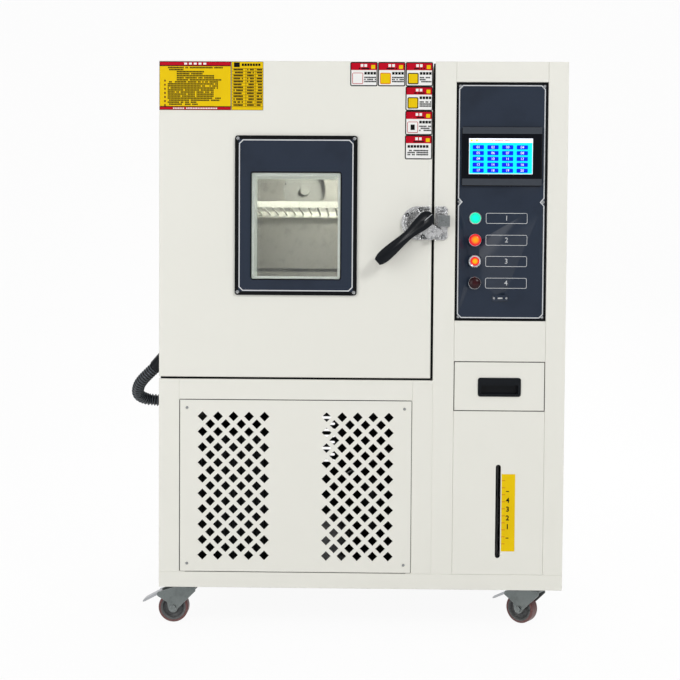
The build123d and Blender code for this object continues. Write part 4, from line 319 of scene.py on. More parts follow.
settled_dust, given, result = effect_group(
    "settled_dust",
    {"Color": (0.5, 0.5, 0.5, 1), "Dust Color": (0.55, 0.53, 0.48, 1), "Level": 0.12, "Amount": 0.3},
)
where = made(settled_dust, "ShaderNodeTexCoord")["Object"]
height = made(settled_dust, "ShaderNodeSeparateXYZ", where)["Z"]
lowness = maths(settled_dust, "SUBTRACT", 1.0, maths(settled_dust, "DIVIDE", height, given["Level"]))
flecks = noise(settled_dust, where, 90.0, 4.0, 0.7)
fleck_share = maths(settled_dust, "MULTIPLY", maths(settled_dust, "MAXIMUM", lowness, 0.0), flecks)
dust_share = maths(settled_dust, "MULTIPLY", fleck_share, given["Amount"])
feed(settled_dust, result, Color=mix_colour(settled_dust, dust_share, given["Color"], given["Dust Color"]))

# Painted shade: faces inside a box, the machine bay, take a dark colour.
shaded_inside, given, result = effect_group(
    "shaded_inside",
    {
        "Color": (0.8, 0.8, 0.8, 1), "Painted Shade Color": (0.03, 0.035, 0.04, 1),
        "Low Corner": (-0.1, -0.1, -0.1), "High Corner": (0.1, 0.1, 0.1),
    },
)
where = made(shaded_inside, "ShaderNodeTexCoord")["Object"]
place, low, high = (
    made(shaded_inside, "ShaderNodeSeparateXYZ", vector)
    for vector in (where, given["Low Corner"], given["High Corner"])
)
within = 1.0
for axis in range(3):
    above = maths(shaded_inside, "GREATER_THAN", place[axis], low[axis])
    below = maths(shaded_inside, "LESS_THAN", place[axis], high[axis])
    within = maths(shaded_inside, "MULTIPLY", maths(shaded_inside, "MULTIPLY", above, below), within)
feed(shaded_inside, result, Color=mix_colour(shaded_inside, within, given["Color"], given["Painted Shade Color"]))
print("effects", mottled_skin.name, brushed_skin.name, worn_edge.name, settled_dust.name, shaded_inside.name)

# %% [markdown]
# ## Finishes
# One function places the shared effects in a new material. What differs is the list of values: the
# colour and its darker shade, then roughness, grain, patches and bump, and whether it is metal. Two
# corners of the machine bay say where the coat gets painted shade.

# %% Finishes
edge_radius = 0.0008


def colour(*screen):
    """A colour given as it looks on screen, turned into the linear values that shaders take."""
    return (*(v / 12.92 if v <= 0.04045 else ((v + 0.055) / 1.055) ** 2.4 for v in screen), 1.0)


def finish(
    name, base, shade, roughness, grain=0.001, patch=0.2, share=0.3, spread=0.1, bump=0.1,
    metallic=0.0, specular=0.5, stretch=(1, 1, 1), edge=None, dust=0.0, inside=None,
):
    """A procedural material from the shared effects. Grain and patch are sizes in metres."""
    tree, shader = new_material(name)
    skin = made(
        tree, "ShaderNodeGroup", base, shade, grain, patch, share, roughness, spread, bump, stretch,
        node_tree=mottled_skin if stretch == (1, 1, 1) else brushed_skin,
    )
    look = skin["Color"]
    # An edge colour is a painted highlight along the edges.
    if edge:
        look = made(tree, "ShaderNodeGroup", look, colour(*edge), edge_radius, node_tree=worn_edge)[0]
    if dust:
        look = made(tree, "ShaderNodeGroup", look, node_tree=settled_dust, Amount=dust)[0]
    # Inside the machine bay the coat takes painted shade.
    if inside:
        bay = (colour(*inside), bay_low, bay_high)
        look = made(tree, "ShaderNodeGroup", look, *bay, node_tree=shaded_inside)[0]
    feed(
        tree, shader, Base_Color=look, Roughness=skin["Roughness"], Normal=skin["Normal"],
        Metallic=metallic, Specular_IOR_Level=specular,
    )


machine_bay_top = 513.5
skin_depth = 3.0
frame_depth = 28.0
cabinet_depth = (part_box("top_cover")[1].y - front_face) / MM
# Corners of the box in which the coat takes painted shade.
bay_low = at(skin_depth, skin_depth, frame_depth)
bay_high = at(cabinet_width - skin_depth, machine_bay_top, cabinet_depth - 0.5)
# In the rows, an edge colour is a painted highlight and an inside colour is painted shade.
finish_rows = [
    # name, colour, darker shade, (roughness, grain, patch, patch share, spread, bump), more
    ("off_white_coat", (0.915, 0.912, 0.88), (0.893, 0.89, 0.855), (0.42, 0.0012, 0.5, 0.5, 0.08, 0.06),
     {"edge": (0.94, 0.935, 0.91), "inside": (0.12, 0.13, 0.14)}),
    ("brushed_stainless", (0.8, 0.81, 0.8), (0.66, 0.67, 0.67), (0.3, 0.0015, 0.15, 0.6, 0.22, 0.12),
     {"metallic": 0.85, "stretch": (1.0, 1.0, 0.03)}),
    ("bright_zinc", (0.74, 0.75, 0.77), (0.58, 0.59, 0.61), (0.34, 0.002, 0.02, 0.8, 0.25, 0.08),
     {"metallic": 0.9, "edge": (0.86, 0.87, 0.88), "dust": 0.5}),
    ("cast_zinc", (0.93, 0.93, 0.93), (0.42, 0.43, 0.44), (0.24, 0.0011, 0.006, 0.9, 0.35, 0.6),
     {"metallic": 0.75, "edge": (0.99, 0.99, 0.99)}),
    ("dark_zinc", (0.62, 0.64, 0.64), (0.38, 0.39, 0.4), (0.3, 0.0011, 0.006, 0.7, 0.3, 0.3),
     {"metallic": 0.7, "edge": (0.85, 0.86, 0.86)}),
    ("blue_black_panel", (0.17, 0.21, 0.275), (0.12, 0.15, 0.2), (0.22, 0.0006, 0.14, 0.8, 0.08, 0.02),
     {"specular": 0.35}),
    ("black_moulding", (0.05, 0.068, 0.09), (0.03, 0.042, 0.06), (0.32, 0.0007, 0.03, 0.5, 0.15, 0.12),
     {"specular": 0.2, "edge": (0.16, 0.19, 0.21)}),
    ("hose_rubber", (0.045, 0.055, 0.065), (0.025, 0.03, 0.035), (0.26, 0.0009, 0.02, 0.6, 0.15, 0.1),
     {"specular": 0.6}),
    # Lighter grey for the hose's crests: a painted highlight.
    ("hose_crest", (0.27, 0.3, 0.33), (0.2, 0.23, 0.26), (0.4, 0.0009, 0.02, 0.6, 0.15, 0.1),
     {"specular": 0.4}),
    ("grey_silicone", (0.6, 0.61, 0.6), (0.5, 0.51, 0.5), (0.6, 0.0008, 0.05, 0.5, 0.1, 0.08), {}),
    ("foam_core", (0.87, 0.8, 0.56), (0.78, 0.7, 0.45), (0.9, 0.002, 0.05, 0.7, 0.1, 0.5), {}),
    ("milky_plastic", (0.85, 0.87, 0.87), (0.78, 0.8, 0.8), (0.4, 0.001, 0.08, 0.5, 0.1, 0.05), {}),
    ("control_gear_plastic", (0.66, 0.67, 0.66), (0.57, 0.58, 0.57), (0.5, 0.0008, 0.03, 0.5, 0.1, 0.08),
     {"edge": (0.75, 0.76, 0.75)}),
    ("black_enamel", (0.06, 0.06, 0.065), (0.035, 0.035, 0.04), (0.3, 0.001, 0.05, 0.6, 0.1, 0.05),
     {"specular": 0.3, "edge": (0.16, 0.16, 0.16)}),
    ("plain_aluminium", (0.95, 0.96, 0.95), (0.86, 0.87, 0.86), (0.35, 0.0012, 0.03, 0.7, 0.2, 0.1),
     {"metallic": 0.1}),
    ("fan_moulding", (0.11, 0.11, 0.12), (0.07, 0.07, 0.08), (0.45, 0.0009, 0.04, 0.6, 0.1, 0.08),
     {"specular": 0.3, "edge": (0.2, 0.2, 0.21)}),
    ("red_tread", (0.4, 0.06, 0.09), (0.25, 0.05, 0.06), (0.45, 0.0009, 0.012, 0.8, 0.2, 0.15),
     {"dust": 0.25}),
    ("grey_core", (0.3, 0.31, 0.32), (0.18, 0.19, 0.2), (0.4, 0.0009, 0.02, 0.6, 0.1, 0.1), {"dust": 0.15}),
    ("fork_zinc", (0.5, 0.53, 0.53), (0.34, 0.37, 0.37), (0.36, 0.002, 0.02, 0.8, 0.25, 0.1),
     {"metallic": 0.6, "edge": (0.8, 0.82, 0.82), "dust": 0.2}),
    # The test space's steel finishes are lighter copies: painted light for its lamp.
    ("bright_liner", (0.75, 0.75, 0.72), (0.58, 0.58, 0.55), (0.34, 0.0007, 0.03, 0.8, 0.25, 0.15),
     {"metallic": 0.7, "stretch": (1, 1, 0.05)}),
    ("bright_shelf", (0.86, 0.87, 0.82), (0.74, 0.75, 0.7), (0.3, 0.0007, 0.03, 0.6, 0.2, 0.1),
     {"metallic": 0.3, "stretch": (1, 1, 0.05)}),
    ("fan_grey", (0.64, 0.65, 0.62), (0.54, 0.55, 0.53), (0.5, 0.001, 0.03, 0.6, 0.1, 0.1), {}),
    ("silver_print", (0.83, 0.84, 0.85), (0.73, 0.74, 0.75), (0.35, 0.0005, 0.03, 0.5, 0.1, 0.02), {}),
    ("yellow_label", (0.93, 0.79, 0.0), (0.87, 0.72, 0.0), (0.38, 0.0007, 0.06, 0.5, 0.1, 0.03),
     {"specular": 0.15}),
    ("red_label", (0.76, 0.0, 0.13), (0.66, 0.0, 0.1), (0.38, 0.0007, 0.05, 0.5, 0.1, 0.03),
     {"specular": 0.15}),
    ("white_label", (0.95, 0.95, 0.94), (0.9, 0.9, 0.89), (0.38, 0.0007, 0.05, 0.5, 0.1, 0.03), {}),
    ("black_print", (0.04, 0.045, 0.05), (0.02, 0.025, 0.03), (0.45, 0.0007, 0.03, 0.5, 0.1, 0.02),
     {"specular": 0.12}),
    ("bezel_black", (0.05, 0.06, 0.09), (0.03, 0.04, 0.06), (0.2, 0.0006, 0.05, 0.5, 0.05, 0.02),
     {"specular": 0.12}),
    ("coated_fins", (0.12, 0.13, 0.14), (0.07, 0.075, 0.08), (0.5, 0.002, 0.05, 0.7, 0.1, 0.1),
     {"specular": 0.25}),
    ("turned_steel", (0.86, 0.87, 0.88), (0.75, 0.76, 0.77), (0.2, 0.0008, 0.02, 0.5, 0.15, 0.04),
     {"metallic": 0.8}),
    ("bezel_grey", (0.25, 0.27, 0.3), (0.2, 0.22, 0.25), (0.4, 0.0006, 0.05, 0.5, 0.05, 0.04),
     {"specular": 0.2}),
    ("soft_black", (0.03, 0.03, 0.03), (0.02, 0.02, 0.02), (0.8, 0.001, 0.03, 0.5, 0.1, 0.05),
     {"specular": 0.1}),
    ("brown_print", (0.16, 0.1, 0.03), (0.1, 0.06, 0.02), (0.45, 0.0006, 0.05, 0.5, 0.1, 0.02),
     {"specular": 0.12}),
    ("orange_print", (0.88, 0.55, 0.05), (0.8, 0.48, 0.04), (0.4, 0.0006, 0.05, 0.5, 0.1, 0.02),
     {"specular": 0.12}),
    ("scale_brown", (0.45, 0.22, 0.05), (0.35, 0.16, 0.03), (0.45, 0.0006, 0.05, 0.5, 0.1, 0.02),
     {"specular": 0.15}),
    ("lit_spacer", (0.93, 0.95, 0.92), (0.84, 0.86, 0.83), (0.35, 0.0012, 0.03, 0.7, 0.2, 0.1),
     {"metallic": 0.1}),
]
for name, base, shade, numbers, more in finish_rows:
    finish(name, colour(*base), colour(*shade), *numbers, **more)
print("finishes", len(finishes))

# %% [markdown]
# Lamps and the lit display shine by themselves. The unlit alarm lamp and the window's spacers get a
# faint glow of painted light. Glass is clear, with a plain transmission value.

# %% Glowing and clear finishes


def shine(name, light, strength):
    """Lets a finish give off light, of a plain colour or of a socket in its own tree."""
    tree = finishes[name].node_tree
    feed(tree, tree.nodes["Principled BSDF"], Emission_Color=light, Emission_Strength=strength)


def glowing(name, base, middle, strength, radius, height, core=0.3):
    """A lens whose light goes from its middle's colour to its rim's, around a lamp's axis."""
    dark = tuple(0.35 * value for value in colour(*base)[:3]) + (1,)
    finish(name, dark, dark, 0.25, grain=0.0006, share=0.0, bump=0.02, specular=0.25)
    tree = finishes[name].node_tree
    where = made(tree, "ShaderNodeTexCoord")["Object"]
    away = made(tree, "ShaderNodeVectorMath", where, at(control_x, height), operation="SUBTRACT")[0]
    flat = made(tree, "ShaderNodeVectorMath", away, (1, 0, 1), operation="MULTIPLY")[0]
    size = made(tree, "ShaderNodeVectorMath", flat, operation="LENGTH")["Value"]
    fade = made(
        tree, "ShaderNodeMapRange", interpolation_type="SMOOTHSTEP",
        Value=size, From_Min=radius * core, From_Max=radius,
    )["Result"]
    shine(name, mix_colour(tree, fade, colour(*middle), colour(*base)), strength)


def clear(name, tint, roughness=0.02, specular=0.5):
    """Plain transparent glass or plastic."""
    tree, shader = new_material(name)
    feed(
        tree, shader, Base_Color=tint, Roughness=roughness, IOR=1.45, Transmission_Weight=1.0,
        Specular_IOR_Level=specular,
    )


control_x = 768.5
light_button_up = 908.7
power_lamp_up = 855.8
power_button_up = 804.3
alarm_lamp_up = 751.6
glowing("lit_green", (0.12, 0.9, 0.7), (0.0, 0.93, 0.86), 0.9, 0.013, light_button_up)
glowing("lit_orange", (0.87, 0.05, 0.14), (1.0, 0.72, 0.0), 0.85, 0.0125, power_lamp_up, 0.2)
glowing("lit_red", (0.97, 0.05, 0.14), (1.0, 0.78, 0.05), 0.9, 0.0088, power_button_up, 0.35)
# The unlit alarm lamp still glows faintly, lighter in its middle: painted light.
glowing("unlit_red", (0.2, 0.03, 0.07), (0.36, 0.1, 0.13), 0.25, 0.009, alarm_lamp_up)
clear("window_pane", (0.985, 0.99, 0.985, 1), specular=0.3)
clear("tube_glass", (0.16, 0.17, 0.17, 1))
clear("frosted_glass", (1.0, 0.98, 0.93, 1), roughness=0.4)
shine("frosted_glass", (1.0, 0.97, 0.9, 1), 0.6)
# The spacers' glow is painted light, standing in for light from the chamber lamp.
shine("lit_spacer", (0.9, 1.0, 0.9, 1), 0.2)
print("finishes", len(finishes))

# %% [markdown]
# ## The hose first
# A corrugated hose carries the door's wiring round the hinge. Its route is a smooth curve through the
# same points as the plain tube of the model. The ridges are rings along that curve, wider and narrower
# by turns, and their crests carry a painted highlight in a lighter grey.

# %% Corrugated hose
hose_diameter = 0.0285
ridge_pitch = 0.0074
ridge_depth = 0.0036
ridge_rise = 0.0009
steps_per_ridge = 10
crest_steps = 2
ring_points = 40
hose_route = (
    (-12, 541, 30), (-37, 519, 40), (-61, 494, 58), (-69, 466, 84), (-50, 453, 107), (-28, 451, 112),
    (-10, 449, 112),
)
hose_points = [at(*place) for place in hose_route]


def evaluated_mesh(item):
    """The final mesh of an object, which is then removed."""
    bpy.context.view_layer.update()
    mesh = bpy.data.meshes.new_from_object(item.evaluated_get(bpy.context.evaluated_depsgraph_get()))
    bpy.data.objects.remove(item)
    return mesh


route_data = bpy.data.curves.new("hose_route", "CURVE")
route_data.dimensions = "3D"
route_data.resolution_u = 24
route = route_data.splines.new("NURBS")
route.points.add(len(hose_points) - 1)
for point, place in zip(route.points, hose_points):
    point.co = (*place, 1.0)
route.order_u = 3
route.use_endpoint_u = True
line = [vertex.co.copy() for vertex in evaluated_mesh(added("hose_route", route_data)).vertices]


def resample(points, spacing):
    """Evenly spaced points along a polyline, with the direction at each, and its whole length."""
    result = []
    travelled = target = 0.0
    for first, second in zip(points, points[1:]):
        step = (second - first).length
        while step > 0 and target <= travelled + step:
            share = (target - travelled) / step
            result.append((first.lerp(second, share), (second - first).normalized()))
            target += spacing
        travelled += step
    return result, travelled


stations, line_length = resample(line, ridge_pitch / steps_per_ridge)
side = Vector((0, 0, 1)).cross(stations[0][1]).normalized()
hose_mesh = bmesh.new()
rings = []
for number, (centre, direction) in enumerate(stations):
    side = (side - direction * side.dot(direction)).normalized()
    across = direction.cross(side)
    wave = 0.5 + 0.5 * math.cos(2 * math.pi * number / steps_per_ridge)
    radius = hose_diameter / 2 + ridge_rise - ridge_depth * (1 - wave)
    turns = [2 * math.pi * k / ring_points for k in range(ring_points)]
    ring = [centre + side * math.cos(turn) * radius + across * math.sin(turn) * radius for turn in turns]
    rings.append([hose_mesh.verts.new(place) for place in ring])
for number, (near, far) in enumerate(zip(rings, rings[1:])):
    # Crest rings take the painted highlight.
    crest = min(number % steps_per_ridge, (-number - 1) % steps_per_ridge) < crest_steps
    for k in range(ring_points):
        after = (k + 1) % ring_points
        hose_mesh.faces.new((near[k], near[after], far[after], far[k])).material_index = int(crest)
hose_mesh.faces.new(list(reversed(rings[0])))
hose_mesh.faces.new(rings[-1])


def finished_piece(name, mesh, looks, body=None, smooth=35.0):
    """Turns a bmesh or a mesh into an object of the scene that moves with a body."""
    data = mesh
    if isinstance(mesh, bmesh.types.BMesh):
        data = bpy.data.meshes.new(name)
        mesh.to_mesh(data)
        mesh.free()
    for look in looks:
        data.materials.append(finishes[look])
    data.shade_smooth()
    data.set_sharp_from_angle(angle=math.radians(smooth))
    piece = added(name, data)
    if body:
        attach(piece, body)
    return piece


def closed_piece(name, shape, looks, body=None, smooth=35.0):
    """A finished piece whose normals are turned outwards first."""
    bmesh.ops.recalc_face_normals(shape, faces=shape.faces)
    return finished_piece(name, shape, looks, body, smooth)


hose = closed_piece("corrugated_hose", hose_mesh, ["hose_rubber", "hose_crest"], None, 60)
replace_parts(hose, "door_conduit")
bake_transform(hose)
print("hose length", round(line_length, 4), "ridges", len(stations) // steps_per_ridge)

# %% [markdown]
# ## Finishes on the model's own nodes
# Most nodes already have their final shape, so they only need a finish. Each one names its slot in the
# record, and this table says which finish a slot gets. The condenser differs from the other aluminium
# parts: its fins are darker. The test space has lighter copies of the steel finish, painted light for
# its lamp, which is on.

# %% Finish every node
slot_finish = {
    "powder_coat": "off_white_coat", "stainless": "brushed_stainless", "zinc_plated": "bright_zinc",
    "zinc_cast": "cast_zinc", "fascia": "blue_black_panel", "glass": "window_pane",
    "screen": "bezel_black", "bezel_metal": "turned_steel", "green_lens": "lit_green",
    "red_lens": "lit_red", "black_plastic": "black_moulding", "black_hose": "hose_rubber",
    "rubber_seal": "grey_silicone", "foam": "foam_core", "lamp_glass": "frosted_glass",
    "tank_plastic": "milky_plastic", "control_gear": "control_gear_plastic",
    "black_paint": "black_enamel", "fin_aluminium": "plain_aluminium", "fan_paint": "fan_moulding",
    "wheel_rubber": "red_tread",
}
own_finish = {
    # The condenser's fins are given a dark colour.
    "condenser": "coated_fins", "blower_motor": "fan_moulding", "blower_wheel": "fan_grey",
    # Lighter steel copies in the test space are painted light for its lamp.
    "air_baffle": "bright_liner", "inner_liner": "bright_liner", "shelf": "bright_shelf",
}
for node_name, node in frame["nodes"].items():
    if node_name.startswith("caster_fork"):
        own_finish[node_name] = "fork_zinc"
    for material_slot in node.material_slots:
        slot_name = material_slot.material.name.split(".")[0]
        material_slot.material = finishes[own_finish.get(node_name, slot_finish[slot_name])]
print("finished", len(frame["nodes"]), "nodes")

# %% [markdown]
# ## Nodes with two finishes
# Some solids are two materials in real life: a wheel is a red tread on a grey core, and a lamp is a
# lens in a metal ring. The latch and the keeper instead take painted shade: in the latch's screw
# recesses and on the keeper's box. A copy of the node's mesh is merged, and each face takes its
# finish from where it lies. The copy then stands in for the node.

# %% Two-finish copies


def dressed_copy(node_name, rule, looks, body):
    """A merged copy of a node, whose faces take the finish that a rule on their middle gives."""
    shell = bmesh.new()
    shell.from_mesh(frame["nodes"][node_name].data)
    bmesh.ops.remove_doubles(shell, verts=shell.verts, dist=0.000001)
    for face in shell.faces:
        face.material_index = int(rule(face.calc_center_median()))
    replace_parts(finished_piece("dressed_" + node_name, shell, looks, body, 30), node_name)


def beside(place, right, up, radius):
    """Whether a place lies near the axis that runs straight back from a point of the front."""
    middle = at(right, up)
    return math.hypot(place.x - middle.x, place.z - middle.z) < radius


lever_back = 28.0
dressed_copy(
    "latch_lever", lambda place: place.y >= front_face - lever_back * MM,
    ["black_moulding", "cast_zinc"], "latch_lever",
)
lamp_ring_radius = 0.0098
lamp_ring_depth = 10.0


def lamp_rule(place):
    """Lens faces are near a lamp's middle and in front of its seat."""
    if place.y > front_face + lamp_ring_depth * MM:
        return 0
    return beside(place, control_x, power_lamp_up, lamp_ring_radius) + 2 * beside(
        place, control_x, alarm_lamp_up, lamp_ring_radius
    )


dressed_copy("pilot_lamps", lamp_rule, ["turned_steel", "lit_orange", "unlit_red"], "cabinet")

tread_share = 0.86
for corner in ("front_left", "front_right", "rear_left", "rear_right"):
    low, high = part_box("caster_wheel_" + corner)
    axle = (low + high) / 2
    roll_axis = next(
        Vector(joint["axis"]) for joint in frame["joints"] if joint["name"] == "roll_" + corner
    ).normalized()
    tread_start = tread_share * (high.z - low.z) / 2

    def wheel_rule(place, axle=axle, roll_axis=roll_axis, tread_start=tread_start):
        """The tread is what lies far from the axle."""
        spoke = place - axle
        return (spoke - roll_axis * spoke.dot(roll_axis)).length <= tread_start

    looks = ["red_tread", "grey_core"]
    dressed_copy("caster_wheel_" + corner, wheel_rule, looks, "wheel_" + corner)

lamp_glass_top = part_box("chamber_lamp")[1].z - 12 * MM
dressed_copy(
    "chamber_lamp", lambda place: place.z > lamp_glass_top,
    ["frosted_glass", "turned_steel"], "cabinet",
)
tube_low, tube_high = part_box("level_tube")
tube_fitting = 16.3 * MM
dressed_copy(
    "level_tube",
    lambda place: place.z < tube_low.z + tube_fitting or place.z > tube_high.z - tube_fitting,
    ["tube_glass", "black_moulding"], "cabinet",
)
socket_x = 831.0
socket_up = 715.0
socket_seat = 5.2
socket_half_width = 0.0097
socket_half_height = 0.0062


def socket_rule(place):
    """Only the faces inside the socket's slot are dark."""
    off = place - at(socket_x, socket_up, socket_seat)
    return abs(off.x) < socket_half_width and abs(off.z) < socket_half_height and off.y > 0


dressed_copy("control_panel", socket_rule, ["blue_black_panel", "black_moulding"], "cabinet")
latch_edges, latch_face = face_of("latch_base")
latch_left, latch_bottom, latch_top = latch_edges[0], latch_edges[1], latch_edges[3]
latch_middle_up = (latch_bottom + latch_top) / 2
latch_round_x = latch_left + (latch_top - latch_bottom) / 2
latch_screws = [
    (latch_round_x + shift, latch_middle_up + lift)
    for shift, lift in ((-25.7, 19.0), (6.5, 32.8), (11.5, -32.5))
]
# The screw recesses get painted shade.
latch_recess_radius = 0.0049


def latch_rule(place):
    """Painted shade inside the screw recesses, the plain cast finish elsewhere."""
    sunk = place.y > front_face + (latch_face + 0.3) * MM
    return sunk and any(beside(place, x, z, latch_recess_radius) for x, z in latch_screws)


dressed_copy("latch_base", latch_rule, ["cast_zinc", "soft_black"], "door")
# The keeper's box takes a darker copy of the zinc: painted shade.
keeper_box_back = 8.0
dressed_copy(
    "strike_keeper", lambda place: place.y < front_face - keeper_box_back * MM,
    ["cast_zinc", "dark_zinc"], "cabinet",
)
print("two-finish copies made")

# %% [markdown]
# ## Lamp lenses
# The two pilot lamps have wide moulded caps that hide their rings. The two buttons are flush, and the
# green one glows into its ring. A lens is a circle's profile turned about its axis, and it is closed at
# the back so that it stays one solid skin.

# %% Lenses
lamp_steps = 48


def turned_lens(name, height, profile, look):
    """Turns a profile of (radius, depth) pairs in millimetres about a lamp's axis."""
    shape = bmesh.new()
    rings = []
    for radius, behind in profile:
        turns = [2 * math.pi * step / lamp_steps for step in range(lamp_steps if radius else 1)]
        ring = [(control_x + radius * math.cos(turn), height + radius * math.sin(turn)) for turn in turns]
        rings.append([shape.verts.new(at(x, z, behind)) for x, z in ring])
    if profile[0][0]:
        rings.append(rings[0])
    for near, far in zip(rings, rings[1:]):
        for step in range(lamp_steps):
            after = (step + 1) % lamp_steps
            corners = ((near, step), (far, step), (far, after), (near, after))
            shape.faces.new(list(dict.fromkeys(ring[number % len(ring)] for ring, number in corners)))
    closed_piece(name, shape, [look], "cabinet", 50)


cap_radius = 14.4
cap_rise = 7.4
cap_points = 9
turns = [math.pi / 2 * step / (cap_points - 1) for step in range(1, cap_points)]
cap_profile = [(0, -cap_rise)] + [(cap_radius * math.sin(turn), -cap_rise * math.cos(turn)) for turn in turns]
cap_profile += [(cap_radius, 1.2), (0, 1.2)]
turned_lens("power_lamp_cap", power_lamp_up, cap_profile, "lit_orange")
turned_lens("alarm_lamp_cap", alarm_lamp_up, cap_profile, "unlit_red")
ring_profile = [(9.8, -0.5), (13.0, -0.3), (13.0, 0.2), (9.8, 0.2)]
turned_lens("light_button_glow", light_button_up, ring_profile, "lit_green")
print("lens caps", cap_radius * 2, "mm wide")

# %% [markdown]
# ## Thin flat pieces
# Printing, labels and plates are all the same kind of thing: an outline with a small thickness. A
# polygon of millimetres on the front is given a front and a back depth. A band is the same with its
# inside cut out, and its inner outline is mitred, so the line keeps its width round each corner.

# %% Outlines, slabs and bands


def box_outline(left, low, right, high, corner=0.0, corner_points=2):
    """A rectangle with cut corners, or rounded ones where corner_points is above 2."""
    if not corner:
        return [(left, low), (right, low), (right, high), (left, high)]
    middles = (
        (right - corner, low + corner, -90), (right - corner, high - corner, 0),
        (left + corner, high - corner, 90), (left + corner, low + corner, 180),
    )
    result = []
    for x, z, start_angle in middles:
        for number in range(corner_points):
            angle = math.radians(start_angle + 90 * number / (corner_points - 1))
            result.append((x + corner * math.cos(angle), z + corner * math.sin(angle)))
    return result


def inset(outline, width):
    """The outline moved inwards by a width, mitred at its corners."""
    result = []
    for index, point in enumerate(outline):
        here = Vector(point)
        before = (here - Vector(outline[index - 1])).normalized()
        after = (Vector(outline[(index + 1) % len(outline)]) - here).normalized()
        normals = Vector((-before.y, before.x)) + Vector((-after.y, after.x))
        result.append(tuple(here + normals * width / (1 + before.dot(after))))
    return result


def shrunk(edges, margin):
    """A box's edges moved inwards by a margin."""
    left, low, right, high = edges
    return left + margin, low + margin, right - margin, high - margin


def slab(shape, outline, front, back):
    """Adds a closed plate with this outline between two depths."""
    near = [shape.verts.new(at(x, z, front)) for x, z in outline]
    far = [shape.verts.new(at(x, z, back)) for x, z in outline]
    shape.faces.new(near)
    shape.faces.new(list(reversed(far)))
    for index in range(len(outline)):
        after = (index + 1) % len(outline)
        shape.faces.new((near[after], near[index], far[index], far[after]))


def band(shape, outline, front, back, width):
    """Adds a closed line of even width that follows an outline on its inner side."""
    inner = inset(outline, width)
    rings = [
        [shape.verts.new(at(x, z, depth)) for x, z in line]
        for line, depth in ((outline, front), (inner, front), (inner, back), (outline, back))
    ]
    for index in range(len(outline)):
        after = (index + 1) % len(outline)
        for ring, following in zip(rings, rings[1:] + rings[:1]):
            shape.faces.new((ring[index], ring[after], following[after], following[index]))


def flat_piece(name, parts, look, body):
    """One object of slabs (outline, front, back) and of bands, which have a width too."""
    shape = bmesh.new()
    for part in parts:
        (band if len(part) == 4 else slab)(shape, *part)
    return closed_piece(name, shape, [look], body)


PRINT = 0.25
print("inset of a 10 mm square by 2:", inset(box_outline(0, 0, 10, 10), 2)[0])

# %% [markdown]
# ## Window
# The window's frame is one dark plate with a black rim of painted shade and a silver line inside it,
# whose corners are cut so that the screws fit outside it. Bright spacer bars hold the panes apart
# behind it, with a faint glow of painted light.

# %% Window frame printing and spacers
window_edges, window_face = face_of("window_frame")
corner_cut = 9.5
window_line = box_outline(*shrunk(window_edges, 9.8), corner_cut)
# The black rim is painted shade along the frame's edge.
window_rim = inset(box_outline(*window_edges, 6, 7), 0.4)
opening = box_outline(226.0, 759.05, 441.0, 1015.05, 4, 5)
reveal = inset(opening, -1.0)
first_print = window_face - PRINT
for name, parts, look, slot in (
    ("silver_line", [(window_line, first_print - PRINT, window_face, 2.6)], "silver_print", "bezel_metal"),
    ("black_rim", [(window_rim, first_print, window_face, 8.6)], "black_print", "fascia"),
    ("opening_edge", [(inset(opening, -3.2), first_print, window_face, 3.0)], "black_print", "fascia"),
    # The spacers glow faintly with painted light.
    ("spacers", [(reveal, 5.3, 43.0, 7.0), (reveal, 48.5, 86.2, 7.0)], "lit_spacer", "fin_aluminium"),
):
    flat_piece("window_" + name, parts, look, "door")
print("window face at", round(window_face, 1), "mm")

# %% [markdown]
# ## Control panel printing
# The control panel carries a silver line with notches beside its middle screws, and a box beside each
# lamp. The boxes keep plain numbers where a panel has words.

# %% Control panel printing
panel_edges = face_of("control_panel")[0]
panel_face = 5.0
panel_screw_up = 948.0
notch_half_height = 9.0
notch_depth = 8.0
line_edges = shrunk(panel_edges, 6.2)
panel_line = box_outline(*line_edges, corner_cut)
right_notch, left_notch = (
    [
        (x, panel_screw_up - turn * notch_half_height), (x - turn * notch_depth, panel_screw_up),
        (x, panel_screw_up + turn * notch_half_height),
    ]
    for x, turn in ((line_edges[2], 1), (line_edges[0], -1))
)
panel_line = panel_line[:2] + right_notch + panel_line[2:6] + left_notch + panel_line[6:]
flat_piece(
    "panel_silver_line", [(panel_line, panel_face - 2 * PRINT, panel_face, 2.4)],
    "silver_print", "cabinet",
)
# A black rim of painted shade runs round the panel's edge.
panel_rim = inset(box_outline(*panel_edges), 0.3)
flat_piece(
    "panel_black_rim", [(panel_rim, panel_face - PRINT, panel_face, 5.0)], "black_print", "cabinet"
)
box_left = 794.5
box_right = 895.0
box_half_height = 12.8
lamp_heights = (light_button_up, power_lamp_up, power_button_up, alarm_lamp_up)
label_boxes = [
    box_outline(box_left, height - box_half_height, box_right, height + box_half_height, 4, 5)
    for height in lamp_heights
]
flat_piece(
    "lamp_label_boxes", [(box, panel_face - PRINT, panel_face, 1.1) for box in label_boxes],
    "silver_print", "cabinet",
)


def number_piece(name, places, size, face, look, bold=0.0):
    """Plain numbers as one flat mesh. Each place is a word, millimetres across and up, centred there."""
    shape = bmesh.new()
    for word, x, z in places:
        curve = bpy.data.curves.new(name, "FONT")
        curve.body = word
        curve.size = size * MM
        curve.align_x = "CENTER"
        curve.align_y = "CENTER"
        curve.extrude = PRINT * MM / 2
        curve.offset = bold * MM
        letters = evaluated_mesh(added(name, curve))
        upright = Matrix.Rotation(math.pi / 2, 4, "X")
        letters.transform(Matrix.Translation(at(x, z, face - PRINT / 2)) @ upright)
        shape.from_mesh(letters)
    bmesh.ops.remove_doubles(shape, verts=shape.verts, dist=0.00001)
    return closed_piece(name, shape, [look], "cabinet")


